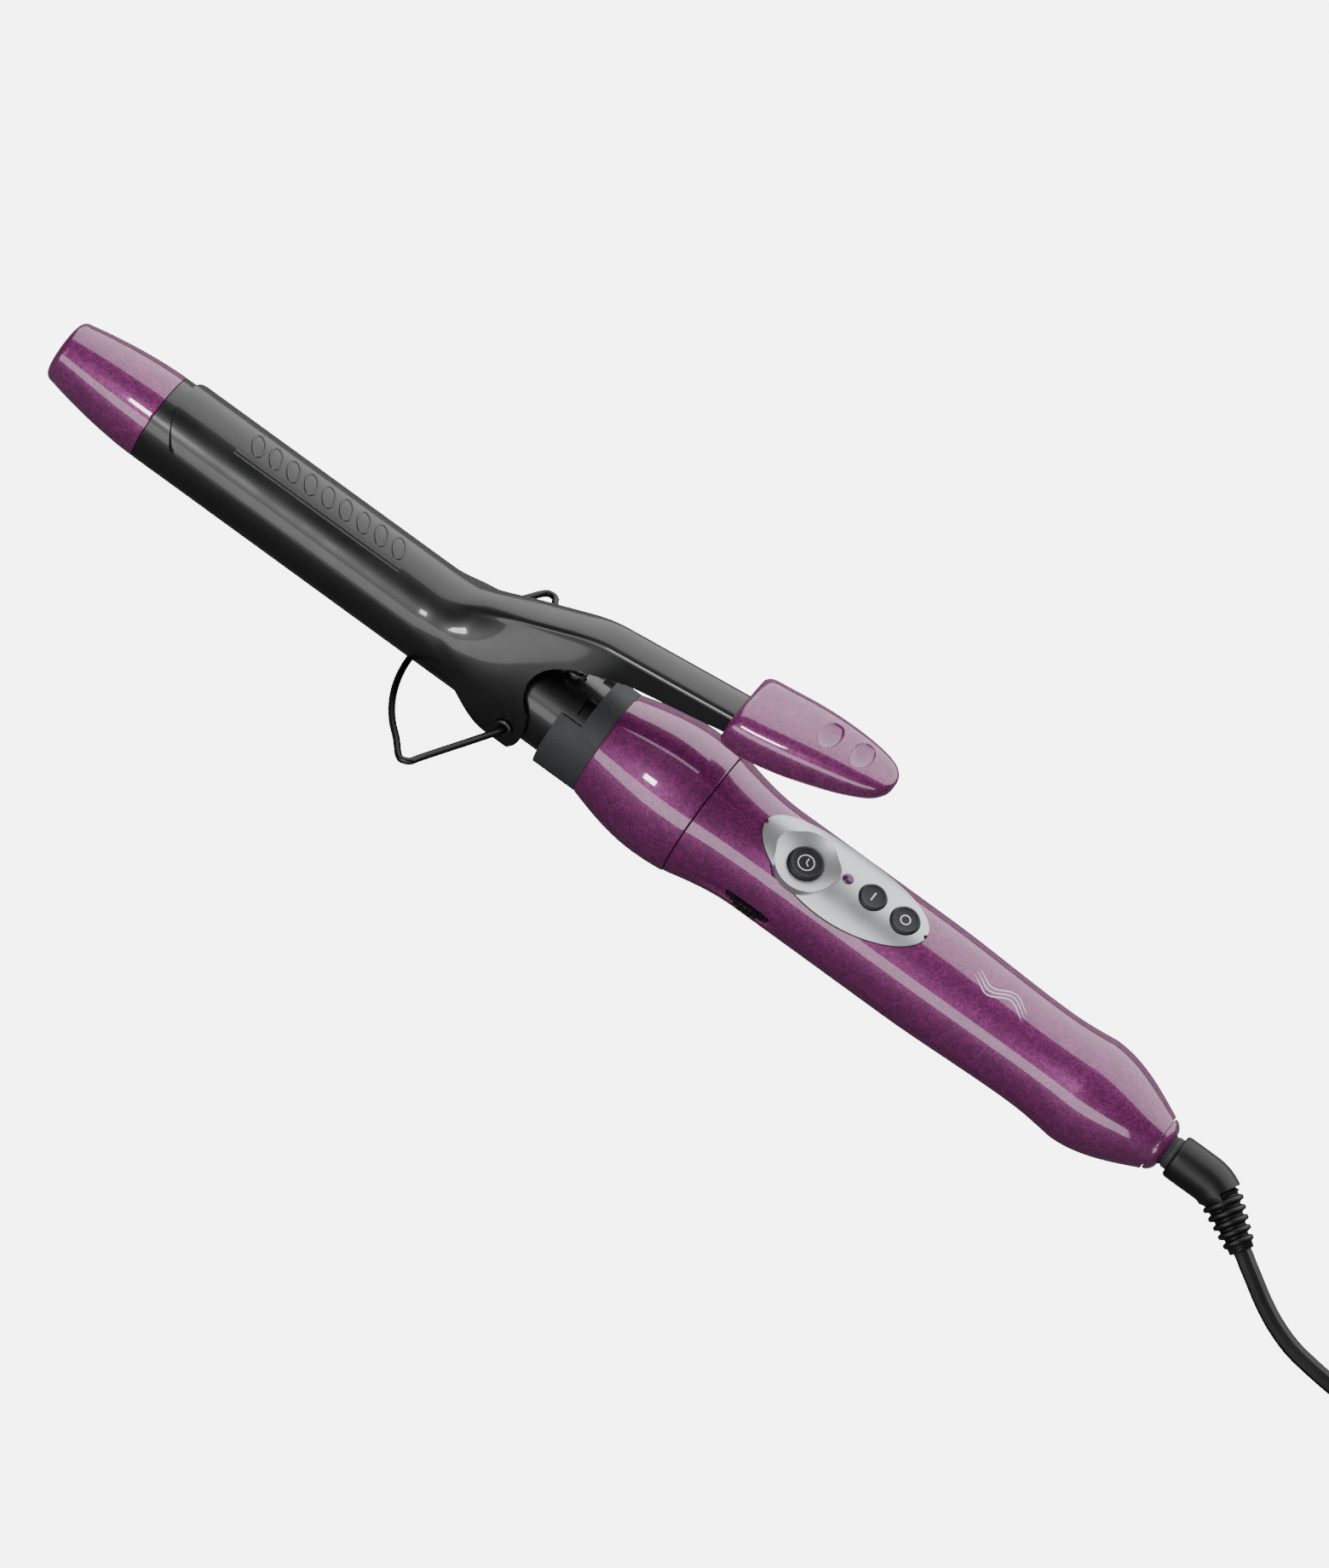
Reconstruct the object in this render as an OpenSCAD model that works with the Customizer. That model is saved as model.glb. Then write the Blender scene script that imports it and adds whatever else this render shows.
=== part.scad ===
// Curling iron with a sprung clamp, a wire stand, a button panel and a swivel cord.
// Modules draw in the iron's own frame: X runs along the barrel from the cool tip's seam to the
// cord, Z is up on the clamp's side, and the barrel's axis is y = z = 0. in_place() moves them to
// the part's frame, which has the table at z = 0 and its origin below the middle of the iron.

/* [Barrel] */
// Outside diameter of the heated barrel
barrel_d = 25.4; // [21:0.1:31]
// Length of the barrel that shows, from the cool tip to the neck collar
barrel_len = 133.7; // [110:0.1:165]
// Wall of the barrel tube
barrel_wall = 0.9; // [0.6:0.1:1.2]
// Length of the cool tip
tip_len = 31.7; // [24:0.1:40]
// Diameter of the cool tip's flat end, before its corner is rounded
tip_end_d = 16.8; // [13:0.1:20]

/* [Clamp] */
// Gap between the closed spoon and the barrel
spoon_gap = 0.35; // [0.3:0.05:0.6]
// Sheet thickness of the clamp
clamp_sheet = 0.9; // [0.7:0.1:1.1]
// Half of the angle that the spoon wraps round the barrel
spoon_half_wrap = 70; // [60:1:80]
// Distance from the cool tip's seam to the spoon's front edge
spoon_start = 3.4; // [2:0.1:8]
// Distance from the neck collar forward to the hinge
hinge_back = 10.7; // [9.5:0.1:12]
// Depth of the hinge below the barrel's axis
hinge_drop = 3.8; // [3:0.1:4.5]
// Distance from the neck collar forward to the bend where the lever rises
kink_back = 42.2; // [38:0.1:46]
// Height of the lever's crest above the barrel's surface
crest_rise = 21.6; // [20:0.1:24]
// Length of the lever from its crest to the thumb rest
lever_run = 42; // [38:0.1:46]
// Width of the lever
lever_w = 11.5; // [10:0.1:13.8]
// Depth of the lever's side flanges
flange_depth = 6; // [5:0.1:6.5]

/* [Thumb rest] */
// Length of the thumb rest
rest_len = 44.4; // [38:0.1:50]
// Width of the thumb rest
rest_w = 24.8; // [20:0.1:28]
// Height of the thumb rest at its tallest
rest_h = 16.2; // [13:0.1:18]

/* [Stand] */
// Diameter of the stand's wire
wire_d = 2; // [1.6:0.1:2.2]
// Reach of the stand from its hinge
stand_reach = 34.2; // [30:0.1:40]
// Half of the stand's width, at its two corners
stand_half = 41.3; // [36:0.1:48]
// Gap between the folded stand and the barrel
stand_gap = 0.44; // [0.44:0.01:4]

/* [Neck collar] */
// Wall of the heat-resistant collar round the barrel
collar_wall = 2.8; // [2.3:0.1:3.8]
// Length of the collar
collar_len = 13.3; // [12:0.1:16]
// Depth that the collar's top is cut back
collar_step = 6.6; // [5:0.1:7.5]

/* [Handle] */
// Length of the handle's nose
nose_len = 31.6; // [28:0.1:38]
// How far the nose's widest part stands out from the barrel
nose_flare = 6.8; // [6.3:0.1:10.3]
// How far the handle body, where it meets the nose, lies inside the nose's widest part
seam_inset = 0.8; // [0.5:0.1:1]
// Length of the handle body
grip_len = 147.7; // [140:0.1:178]
// Diameter of the grip beside the button panel
grip_d = 31.2; // [30.6:0.1:34]
// Diameter of the grip's waist
waist_d = 29; // [27:0.1:31]
// Diameter of the swell near the tail
swell_d = 31.2; // [29:0.1:33]
// Wall of the handle's shells
shell_wall = 2; // [1.8:0.1:2.4]
// Turn of the handle and its panel about the barrel's axis
handle_roll = 17.5; // [0:0.5:30]

/* [Controls] */
// Length of the button panel
panel_len = 52; // [50:0.1:60]
// Width of the button panel
panel_w = 22.4; // [20:0.1:24]
// Diameter of the timer button
timer_d = 9.7; // [8:0.1:10]
// Diameter of the on button
on_d = 7.7; // [6.5:0.1:8.6]
// Diameter of the off button
off_d = 8.2; // [6.5:0.1:8.8]
// Travel of each button
button_travel = 0.7; // [0.5:0.1:0.8]
// Clearance round each button
button_gap = 0.15; // [0.1:0.05:0.3]
// Diameter of the temperature wheel
wheel_d = 19.6; // [18:0.1:20]
// Thickness of the temperature wheel
wheel_t = 3; // [2.5:0.1:3.6]

/* [Cord] */
// Diameter of the swivel's neck
neck_d = 9.4; // [8:0.1:10]
// Diameter of the strain relief where it meets the swivel
relief_d = 12.6; // [11:0.1:14]
// Diameter of the cord
cord_d = 5; // [5:0.1:5]

/* [Hidden] */

$fn = 64;
e = 0.01;

// Stations along the iron
hinge_x = barrel_len - hinge_back;
kink_x = barrel_len - kink_back;
crest_x = barrel_len - 2.9;
rest_x = crest_x + lever_run;
nose_x = barrel_len + collar_len;
grip_x = nose_x + nose_len;
tail_x = grip_x + grip_len;
ring_len = 2.9;
neck_end_x = tail_x + ring_len + 2.5;
middle_x = (neck_end_x - tip_len) / 2;
barrel_r = barrel_d / 2;
collar_d = barrel_d + 2 * collar_wall;
bulge_d = barrel_d + 2 * nose_flare;
bulge_r = bulge_d / 2;
seam_d = bulge_d - 2 * seam_inset;

// The clamp's sheet, measured at the middle of its thickness
spoon_r = barrel_r + spoon_gap + clamp_sheet / 2;
ear_y = barrel_r + 0.8 + clamp_sheet / 2;
ear_r = 5.5;
rise_slope = (crest_rise - spoon_gap - clamp_sheet) / (crest_x - kink_x);
lever_slope = 0.164;

// Hinge of the clamp and of the stand
eyelet_r = 1.6;
eyelet_flange_r = 2.7;
running_gap = 0.05;
wire_r = wire_d / 2;
stand_fold = asin((barrel_r + wire_r + stand_gap - hinge_drop) / stand_reach);
ear_face = ear_y + clamp_sheet / 2;
flange_y = ear_face + 0.2;
flange_t = 0.8;

// Handle stations, measured along X
wheel_x = grip_x + 24;
wheel_in = 7;
panel_x = grip_x + 41.4;
panel_y = 0.5;
timer_x = panel_x - 11;
timer_y = -1.8;
lens_x = panel_x + 0.4;
on_x = panel_x + 8.5;
off_x = panel_x + 18.9;
upper_y = 0.9;
screw_x = [grip_x + 6.4, grip_x + 77.4, grip_x + 117.4];
board_z = 6;
board_t = 1.6;
board_x = panel_x - 22;
board_len = 52;
board_half = 8;
switch_top = board_z + board_t + 4;
lead_y = 5;
lead_z = 4.4;
lead_r = 0.8;

// Swivel stations
bush_x = tail_x - 10.3;
hub_r = neck_d / 2;
relief_r = relief_d / 2;
relief_bend = 32.7;
elbow_x = neck_end_x + 13.3;
relief_leg = 18.7;

// Places of the cord, in the part's frame, for a table at z = 0
route = [
    [211.6, -7.3, 12], [214, -8.4, 10.9], [218, -10.1, 9.1], [223, -12, 6.7], [229, -14, 4.5],
    [236, -15.8, 3], [243, -16.9, 2.6], [250, -17.8, 2.6], [257, -18.8, 3], [263, -19.5, 3.4]
];
lead_route = [
    [326, 21, 18.5], [320, 23.6, 18], [314, 26.8, 17], [308, 29.6, 15.3], [302, 32.2, 13],
    [296, 34.6, 10.8], [290, 36.3, 9], [284, 37, 8]
];
hank_x = 250;
hank_run = 73;
hank_w = 45;
hank_h = 20;
tie_t = 1;
tie_w = 8;
plug = [285, 37, 8];

// Small maths
function unit(v) = v / norm(v);
function mix(a, b, t) = a + (b - a) * t;
function clamped(t) = min(1, max(0, t));
function eased(t) = let (c = clamped(t)) c * c * (3 - 2 * c);
// A ramp that starts at 0, turns upwards round x = 0 and then has a slope of 1
function ramp(x, soft) = x < -soft ? 0 : x > soft ? x : (x + soft) * (x + soft) / (4 * soft);
// A point on the smooth curve through four points, between the second and the third
function curve_point(a, b, c, d, t) =
    b + t * ((c - a) / 2 + t * (a - 2.5 * b + 2 * c - d / 2 + t * (1.5 * (b - c) + (d - a) / 2)));
function curve(p, steps) = [
    for (i = [0 : len(p) - 2])
        for (s = [0 : steps - 1])
            curve_point(p[max(i - 1, 0)], p[i], p[i + 1], p[min(i + 2, len(p) - 1)], s / steps),
    p[len(p) - 1]
];

// Rings round a path, each ring's frame carried on from the last
function tangent(p, i) = unit(p[min(i + 1, len(p) - 1)] - p[max(i - 1, 0)]);
function carried(n, t) = unit(n - (n * t) * t);
function frames(p, n, i = 0) =
    i == len(p) ? [] : let (m = carried(n, tangent(p, i))) concat([m], frames(p, m, i + 1));
function ring(c, t, n, r, sides) =
    let (b = cross(t, n)) [for (k = [0 : sides - 1]) c + r * (cos(360 * k / sides) * n + sin(360 * k / sides) * b)];

// A closed solid from rings of points, in order along X or along a path. A ring that goes out along
// a bent sheet and back is a strip, and its ends are closed from one edge of the sheet to the other.
module lofted(rings, strip = false) {
    sides = len(rings[0]);
    last = len(rings) - 1;
    end_faces = strip
        ? [for (k = [0 : sides / 2 - 2]) [k, k + 1, sides - 2 - k, sides - 1 - k]]
        : [[for (k = [0 : sides - 1]) k]];
    polyhedron(
        points = [for (one = rings) each one],
        faces = concat(
            end_faces,
            [for (i = [0 : last - 1]) for (k = [0 : sides - 1])
                each [[i * sides + k, (i + 1) * sides + k, (i + 1) * sides + (k + 1) % sides],
                      [i * sides + k, (i + 1) * sides + (k + 1) % sides, i * sides + (k + 1) % sides]]],
            [for (face = end_faces) [for (k = [len(face) - 1 : -1 : 0]) last * sides + face[k]]]
        ),
        convexity = 8
    );
}

module tube_along(path, r, sides, up = [0, 0, 1]) {
    n = frames(path, up);
    lofted([for (i = [0 : len(path) - 1]) ring(path[i], tangent(path, i), n[i], r, sides)]);
}

// Solids turned about the iron's axis: profile points are [radius, x]
module turned(profile) {
    rotate([0, 90, 0]) rotate_extrude($fn = 96) polygon(profile);
}

module rod_x(x0, x1, r) {
    translate([x0, 0, 0]) rotate([0, 90, 0]) cylinder(h = x1 - x0, r = r);
}

module rod_y(y0, y1, r) {
    translate([0, y0, 0]) rotate([-90, 0, 0]) cylinder(h = y1 - y0, r = r);
}

module in_place() {
    translate([-middle_x, 0, bulge_r]) children();
}

module handle_frame() {
    rotate([handle_roll, 0, 0]) children();
}

// Everything on one side of the handle's parting plane
module half_space(side) {
    span = 2 * grip_len;
    translate([grip_x - grip_len / 2, -span / 2, side > 0 ? 0 : -span]) cube([2 * grip_len, span, span]);
}

// ---- Barrel ----

module barrel_tube() {
    color("#2b2b2d") in_place() difference() {
        rod_x(0, nose_x + 11, barrel_r);
        rod_x(-1, nose_x + 12, barrel_r - barrel_wall);
        translate([hinge_x, 0, -hinge_drop]) rod_y(-barrel_d, barrel_d, eyelet_r);
    }
}

tip_round = 2.5;
tip_end_r = tip_end_d / 2;
function tip_r(t) = barrel_r - (barrel_r - tip_end_r - 0.3) * pow(t, 1.8);

module cool_tip() {
    steps = 10;
    side_end = 1 - tip_round / tip_len;
    corner_r = tip_r(side_end) - tip_round;
    outline = concat(
        [[0, 0], [barrel_r, 0]],
        [for (i = [1 : steps]) [tip_r(side_end * i / steps), -tip_len * side_end * i / steps]],
        [for (a = [15 : 15 : 90]) [corner_r + tip_round * cos(a), -tip_len + tip_round * (1 - sin(a))]],
        [[0, -tip_len]]
    );
    color("#7b3a78") in_place() difference() {
        union() {
            turned(outline);
            rod_x(-2, 10, barrel_r - barrel_wall - 2.4);
        }
        rod_x(-tip_len + 6, 11, barrel_r - barrel_wall - 4.4);
    }
}

module tip_bush() {
    color("#3a3432") in_place() difference() {
        rod_x(0, 12, barrel_r - barrel_wall);
        rod_x(-1, 13, barrel_r - barrel_wall - 2.4);
    }
}

// ---- Heater, inside the barrel ----

heater_x0 = 20;
heater_len = 80;
core_w = 12;
core_t = 2.4;
film_t = 0.3;

module heater_core() {
    color("#e8e2d4") in_place()
        translate([heater_x0, -core_w / 2, -core_t / 2]) cube([heater_len, core_w, core_t]);
}

module insulation_sheets() {
    color("#b8863a") in_place() for (side = [0, 1]) mirror([0, 0, side])
        translate([heater_x0 - 2, -core_w / 2 - 1, core_t / 2]) cube([heater_len + 4, core_w + 2, film_t]);
}

module heater_pads() {
    face = core_t / 2 + film_t;
    color("#c9ccd0") in_place() for (side = [0, 1]) mirror([0, 0, side]) intersection() {
        rod_x(heater_x0, heater_x0 + heater_len, barrel_r - barrel_wall);
        translate([0, -barrel_r, face]) cube([barrel_len, barrel_d, barrel_r]);
    }
}

module thermal_fuse() {
    color("#d8d8d0") in_place() translate([0, 0, -4]) rod_x(heater_x0 + heater_len + 2, heater_x0 + heater_len + 14, 2);
}

module heater_leads() {
    color("#b3392f") in_place() handle_frame() for (y = [-lead_y, lead_y, lead_y + 2])
        translate([0, y, lead_z]) rod_x(heater_x0 + heater_len, board_x + 1, lead_r);
}

// ---- Clamp ----

saddle_t = 1.2;
spring_x = barrel_len - 3.3;
spring_r = 3;
spring_wire_r = 0.45;
spring_foot = barrel_r + saddle_t;

// A curved plate over the top of the barrel: half angle, from x0 to x1
module arc_plate(half_angle, x0, x1, r0, r1) {
    translate([x0, 0, 0]) rotate([0, 90, 0]) rotate([0, 0, 180 - half_angle])
        rotate_extrude(angle = 2 * half_angle, $fn = 96) translate([r0, 0]) square([r1 - r0, x1 - x0]);
}

tongue_half = 3.4;

module spring_saddle() {
    tongue_x = barrel_len + 3.6;
    color("#3c3c3e") in_place() union() {
        difference() {
            arc_plate(40, hinge_x + 5, barrel_len + 8, barrel_r, spring_foot);
            for (side = [0, 1]) mirror([0, side, 0])
                translate([tongue_x, tongue_half, 0]) cube([barrel_d, barrel_d, barrel_d]);
        }
        translate([spring_x, 0, spring_foot - 0.5]) cylinder(h = 4, r = 2);
    }
}

function lever_top(x) =
    spoon_r + rise_slope * ramp(x - kink_x, 5) - (rise_slope - lever_slope) * ramp(x - crest_x, 5);

module clamp_spring() {
    turns = 8;
    coil_top = lever_top(spring_x) - clamp_sheet;
    coil_foot = spring_foot + spring_wire_r;
    height = coil_top - spring_wire_r - coil_foot;
    path = [for (i = [0 : 12 * turns])
        [spring_x + spring_r * cos(30 * i), spring_r * sin(30 * i), coil_foot + height * i / (12 * turns)]];
    color("#8d9094") in_place() tube_along(path, spring_wire_r, 6, [1, 0, 0.1]);
}

module hinge_eyelets() {
    color("#4a4a4c") in_place() translate([hinge_x, 0, -hinge_drop]) for (side = [0, 1])
        mirror([0, side, 0]) difference() {
            union() {
                rod_y(barrel_r - barrel_wall - 1.4, flange_y + flange_t, eyelet_r);
                rod_y(flange_y, flange_y + flange_t, eyelet_flange_r);
            }
            rod_y(0, flange_y + flange_t + 1, wire_r + running_gap);
        }
}

// Half of a section through the clamp, from the top at t = 0 to the lower edge at t = 1
shoulder_t = 0.35;
function spoon_half(t) = spoon_r * [sin(spoon_half_wrap * t), cos(spoon_half_wrap * t)];
function ridge_half(t, top, edge_y, edge_z, straight_from) =
    let (half = lever_w / 2 - clamp_sheet / 2, u = t / shoulder_t, v = (t - shoulder_t) / (1 - shoulder_t))
    t < shoulder_t
        ? [half * sin(90 * u), top - 1.8 * (1 - cos(90 * u))]
        : [mix(half, edge_y, sin(90 * min(1, v / straight_from))), mix(top - 1.8, edge_z, v)];
function skirt_z(x) = mix(spoon_r * cos(spoon_half_wrap), -hinge_drop - ear_r,
    eased((x - kink_x) / (hinge_x - 4 - kink_x)));
function section_half(x, t) =
    let (
        top = lever_top(x),
        rising = eased((x - kink_x + 2) / (hinge_x - kink_x - 8)),
        narrowing = eased((x - hinge_x - 3) / 18),
        low = skirt_z(x),
        depth = flange_depth + 3.5 * (1 - clamped((x - crest_x - 4) / lever_run)),
        wide = ridge_half(t, top, ear_y, low, 0.75),
        narrow = ridge_half(t, top, lever_w / 2 - clamp_sheet / 2 + 0.3, top - depth, 1),
        dome = spoon_half(t),
        raised = [dome[0], dome[1] + top - spoon_r],
        skirting = t * t * clamped(rising * 2),
        lowered = [mix(dome[0], ear_y, skirting), mix(raised[1], low, skirting)]
    )
    mix(mix(lowered, wide, rising), narrow, narrowing);

section_steps = 13;
function half_path(x) = [for (i = [0 : section_steps]) section_half(x, i / section_steps)];
function outward(p, i) =
    let (d = p[min(i + 1, len(p) - 1)] - p[max(i - 1, 0)]) i == 0 ? [0, 1] : unit([-d[1], d[0]]);
function offset_path(p, by) = [for (i = [0 : len(p) - 1]) p[i] + by * outward(p, i)];
function both_sides(p) = concat([for (i = [len(p) - 1 : -1 : 1]) [-p[i][0], p[i][1]]], p);
function reversed(p) = [for (i = [len(p) - 1 : -1 : 0]) p[i]];
function sheet_ring(x) =
    let (
        p = half_path(x),
        outer = both_sides(offset_path(p, clamp_sheet / 2)),
        inner = both_sides(offset_path(p, -clamp_sheet / 2))
    )
    [for (q = concat(outer, reversed(inner))) [x, q[0], q[1]]];

lever_in_rest = 17;
lever_end = rest_x + lever_in_rest;
clamp_stations = concat(
    [spoon_start, spoon_start + 10, kink_x - 12],
    [for (x = [kink_x - 8 : 2.5 : crest_x + 14]) x],
    [for (i = [1 : 4]) mix(crest_x + 16, lever_end, i / 4)]
);

// Outline of the opening behind the clamp's ears, seen from the side
ear_opening = curve([
    [hinge_x + 1, -hinge_drop - ear_r - 2], [hinge_x + 4.6, -hinge_drop - 3.6],
    [hinge_x + 5.2, -hinge_drop + 1], [hinge_x + 4, -hinge_drop + 7],
    [hinge_x + 0.6, barrel_r - 4.7], [hinge_x - 0.7, barrel_r + 0.3], [hinge_x + 0.8, barrel_r + 4.9],
    [hinge_x + 4.5, barrel_r + 8.7], [hinge_x + 10, barrel_r + 11.7], [hinge_x + 18, barrel_r + 13.9]
], 4);

module spoon_corner() {
    round_r = 10;
    half = spoon_r * sin(spoon_half_wrap) + clamp_sheet;
    translate([spoon_start - 1, half - round_r, -barrel_r]) difference() {
        cube([round_r + 1, round_r + 1, barrel_d + 4]);
        translate([round_r + 1, 0, -1]) cylinder(h = barrel_d + 6, r = round_r);
    }
}

module clamp_spoon() {
    color("#343436") in_place() difference() {
        lofted([for (x = clamp_stations) sheet_ring(x)], strip = true);
        translate([0, barrel_d, 0]) rotate([90, 0, 0]) linear_extrude(2 * barrel_d)
            polygon(concat(ear_opening, [
                [hinge_x + 30, barrel_r + 14.3], [hinge_x + 30, -2 * barrel_d], [hinge_x + 1, -2 * barrel_d]]));
        for (side = [0, 1]) mirror([0, side, 0]) spoon_corner();
        translate([hinge_x, 0, -hinge_drop]) rod_y(-barrel_d, barrel_d, eyelet_r + running_gap);
    }
}

// Thumb rest sections: share of its length, rise of its middle, half width, height above, height below
rest_sections = [
    [0, 0, 0.90, 0.72, 0.78], [0.02, 0.05, 0.96, 0.84, 0.88], [0.06, 0.2, 0.99, 0.94, 0.94],
    [0.16, 0.6, 1.00, 1.00, 0.97], [0.3, 1.7, 0.99, 1.03, 0.93], [0.45, 3.1, 0.95, 1.01, 0.85],
    [0.6, 4.6, 0.87, 0.93, 0.74], [0.74, 6.0, 0.77, 0.81, 0.62], [0.86, 7.2, 0.64, 0.67, 0.48],
    [0.94, 8.0, 0.49, 0.52, 0.35], [0.985, 8.5, 0.3, 0.34, 0.21], [1, 8.7, 0.14, 0.17, 0.1]
];
rest_z = lever_top(rest_x) - 1.1;
rest_sides = 36;
rest_power = 2 / 2.7;
slot_side_gap = 0.45;
function signed_pow(v, p) = sign(v) * pow(abs(v), p);
function rest_ring(s) = [for (k = [0 : rest_sides - 1])
    let (a = 360 * k / rest_sides, up = cos(a), height = rest_h / 2 * (up > 0 ? s[3] : s[4]))
    [rest_x + s[0] * rest_len, rest_w / 2 * s[2] * signed_pow(sin(a), rest_power),
     rest_z + s[1] + height * signed_pow(up, rest_power)]];

module thumb_rest() {
    lever_angle = atan(lever_slope);
    color("#8a4587") in_place() difference() {
        lofted([for (s = rest_sections) rest_ring(s)]);
        translate([rest_x, 0, lever_top(rest_x) + clamp_sheet / 2]) rotate([0, -lever_angle, 0])
            translate([-4, -lever_w / 2 - slot_side_gap, -flange_depth - 1.2])
                cube([lever_in_rest / cos(lever_angle) + 4.4, lever_w + 2 * slot_side_gap, flange_depth + 1.6]);
        for (i = [0, 1]) translate([rest_x + 0.52 * rest_len + 10 * i, 0, rest_z + 12.5 + 1.0 * i])
            scale([3.4, 6.8, 1.8]) sphere(r = 1, $fn = 24);
    }
}

// ---- Stand ----

function stand_arc_r() =
    let (deep = stand_reach - 14.2) (stand_half * stand_half + deep * deep) / (2 * deep);
stand_hinge_y = flange_y + flange_t + 1.6;

// Half of the wire's path in its own plane: distance from the hinge, and y
stand_half_path = concat(
    [[0, stand_hinge_y - 0.7], [0.15, stand_hinge_y - 0.1], [0.6, stand_hinge_y + 0.7]],
    [[6, mix(stand_hinge_y, stand_half, 0.40)], [12.4, stand_half - 3.4], [13.6, stand_half - 1],
     [15.4, stand_half - 0.1], [17.4, stand_half - 1]],
    [for (i = [1 : 8]) let (y = (stand_half - 1) * (1 - i / 8) - 0.9 * (8 - i) / 8)
        [stand_reach - stand_arc_r() + sqrt(pow(stand_arc_r(), 2) - y * y), y]]
);
function stand_point(p, side) = [-p[0], side * p[1], 0];

module stand_wire() {
    steps = len(stand_half_path) - 1;
    path = concat(
        [for (i = [0 : steps]) stand_point(stand_half_path[i], -1)],
        [for (i = [steps - 1 : -1 : 0]) stand_point(stand_half_path[i], 1)]
    );
    color("#1c1c1e") in_place() translate([hinge_x, 0, -hinge_drop]) rotate([0, -stand_fold, 0]) union() {
        tube_along(path, wire_r * 0.98, 10);
        for (side = [0, 1]) mirror([0, side, 0])
            rod_y(barrel_r - barrel_wall - 1, stand_hinge_y, wire_r);
    }
}

// ---- Neck collar and nose ----

spigot_wall = 1.2;
holder_r = barrel_r + 2.5;

module neck_collar() {
    cut_half = 48;
    color("#4b4c4e") in_place() difference() {
        union() {
            rod_x(barrel_len, nose_x, collar_d / 2);
            rod_x(nose_x - 1, nose_x + 6, barrel_r + spigot_wall);
        }
        rod_x(barrel_len - 1, nose_x + 7, barrel_r);
        arc_plate(cut_half, barrel_len - 1, barrel_len + collar_step, barrel_r - 1, collar_d);
        arc_plate(15, barrel_len - 1, barrel_len + 8, barrel_r - 1, spring_foot + 0.05);
    }
}

module barrel_holder() {
    color("#5b4636") in_place() difference() {
        rod_x(nose_x + 6, nose_x + 12, holder_r);
        rod_x(nose_x + 5, nose_x + 11, barrel_r);
        rod_x(nose_x + 5, nose_x + 13, barrel_r - barrel_wall - 1);
    }
}

bulge_at = 22;
lip_r = grip_d / 2;
nose_steps = 12;
function nose_r(x) =
    x < bulge_at
        ? collar_d / 2 + (bulge_r - collar_d / 2) * sin(90 * x / bulge_at)
        : mix(bulge_r, seam_d / 2 + 0.2, pow((x - bulge_at) / (nose_len - bulge_at), 2));
tongue_r = seam_d / 2 - shell_wall + 0.1;
tongue_len = 6;

module handle_nose() {
    outline = concat(
        [[0, nose_x]],
        [for (i = [0 : nose_steps]) let (x = nose_len * i / nose_steps) [nose_r(x), nose_x + x]],
        [[0, grip_x]]
    );
    hollow = concat(
        [[0, nose_x + 12]],
        [for (i = [5 : nose_steps - 2]) let (x = nose_len * i / nose_steps)
            [min(nose_r(x) - shell_wall, tongue_r + 0.05), nose_x + x]],
        [[tongue_r + 0.05, grip_x - tongue_len], [tongue_r + 0.05, grip_x + 1], [0, grip_x + 1]]
    );
    color("#7b3a78") in_place() difference() {
        turned(outline);
        turned(hollow);
        rod_x(nose_x - 1, nose_x + 13, barrel_r + spigot_wall);
        rod_x(nose_x + 6, nose_x + 13, holder_r);
    }
}

// ---- Handle body ----

fair_len = 21;
waist_at = grip_len - 38.7;
swell_at = grip_len - 24.3;
tail_r = 8.2;
grip_r = grip_d / 2;
waist_r = waist_d / 2;
swell_r = swell_d / 2;
straight_end = waist_at - 40.6;

// Radius of the handle body at a distance from the nose's seam
function body_r(x) =
    x < fair_len ? grip_r + (seam_d / 2 - grip_r) * (1 - sin(90 * x / fair_len))
    : x < straight_end ? grip_r
    : x < waist_at ? mix(grip_r, waist_r, eased((x - straight_end) / (waist_at - straight_end)))
    : x < swell_at ? mix(waist_r, swell_r, 1 - cos(90 * (x - waist_at) / (swell_at - waist_at)))
    : tail_r + (swell_r - tail_r) * cos(90 * (x - swell_at) / (grip_len - swell_at));
body_x = concat(
    [for (i = [0 : 6]) fair_len * i / 6],
    [for (i = [0 : 6]) mix(straight_end, waist_at, i / 6)],
    [for (i = [1 : 4]) mix(waist_at, swell_at, i / 4)],
    [for (i = [1 : 8]) mix(swell_at, grip_len, i / 8)]
);
function body_outline(by) = [for (x = body_x) [body_r(x) + by, grip_x + x]];

module body_solid(by) {
    turned(concat([[0, grip_x]], body_outline(by), [[0, tail_x]]));
}

module body_hollow() {
    inside = [for (p = body_outline(-shell_wall)) if (p[1] > grip_x + tongue_len && p[1] < bush_x) p];
    turned(concat(
        [[0, grip_x - tongue_len - 1], [tongue_r - 1.6, grip_x - tongue_len - 1],
         [tongue_r - 1.6, grip_x + tongue_len]],
        inside, [[0, inside[len(inside) - 1][1]]]
    ));
}

screw_boss_r = 3;
screw_r = 1.45;
pilot_r = 1.1;
head_r = 2.6;
head_z = -9;
wheel_r = wheel_d / 2;

// Ellipse of the button panel, grown by a clearance
function panel_shape(by) = [for (a = [0 : 7.5 : 359])
    [panel_x + (panel_len / 2 + by) * cos(a), panel_y + (panel_w / 2 + by) * sin(a)]];

module through(x, y, r, z0, z1) {
    translate([x, y, z0]) cylinder(h = z1 - z0, r = r);
}

panel_gap = 0.1;
panel_t = 1.1;
panel_proud = 0.35;
dish_r = 8.75;
dish_boss_r = 9.4;
dish_floor = 12.2;
lens_r = 1.6;

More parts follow.
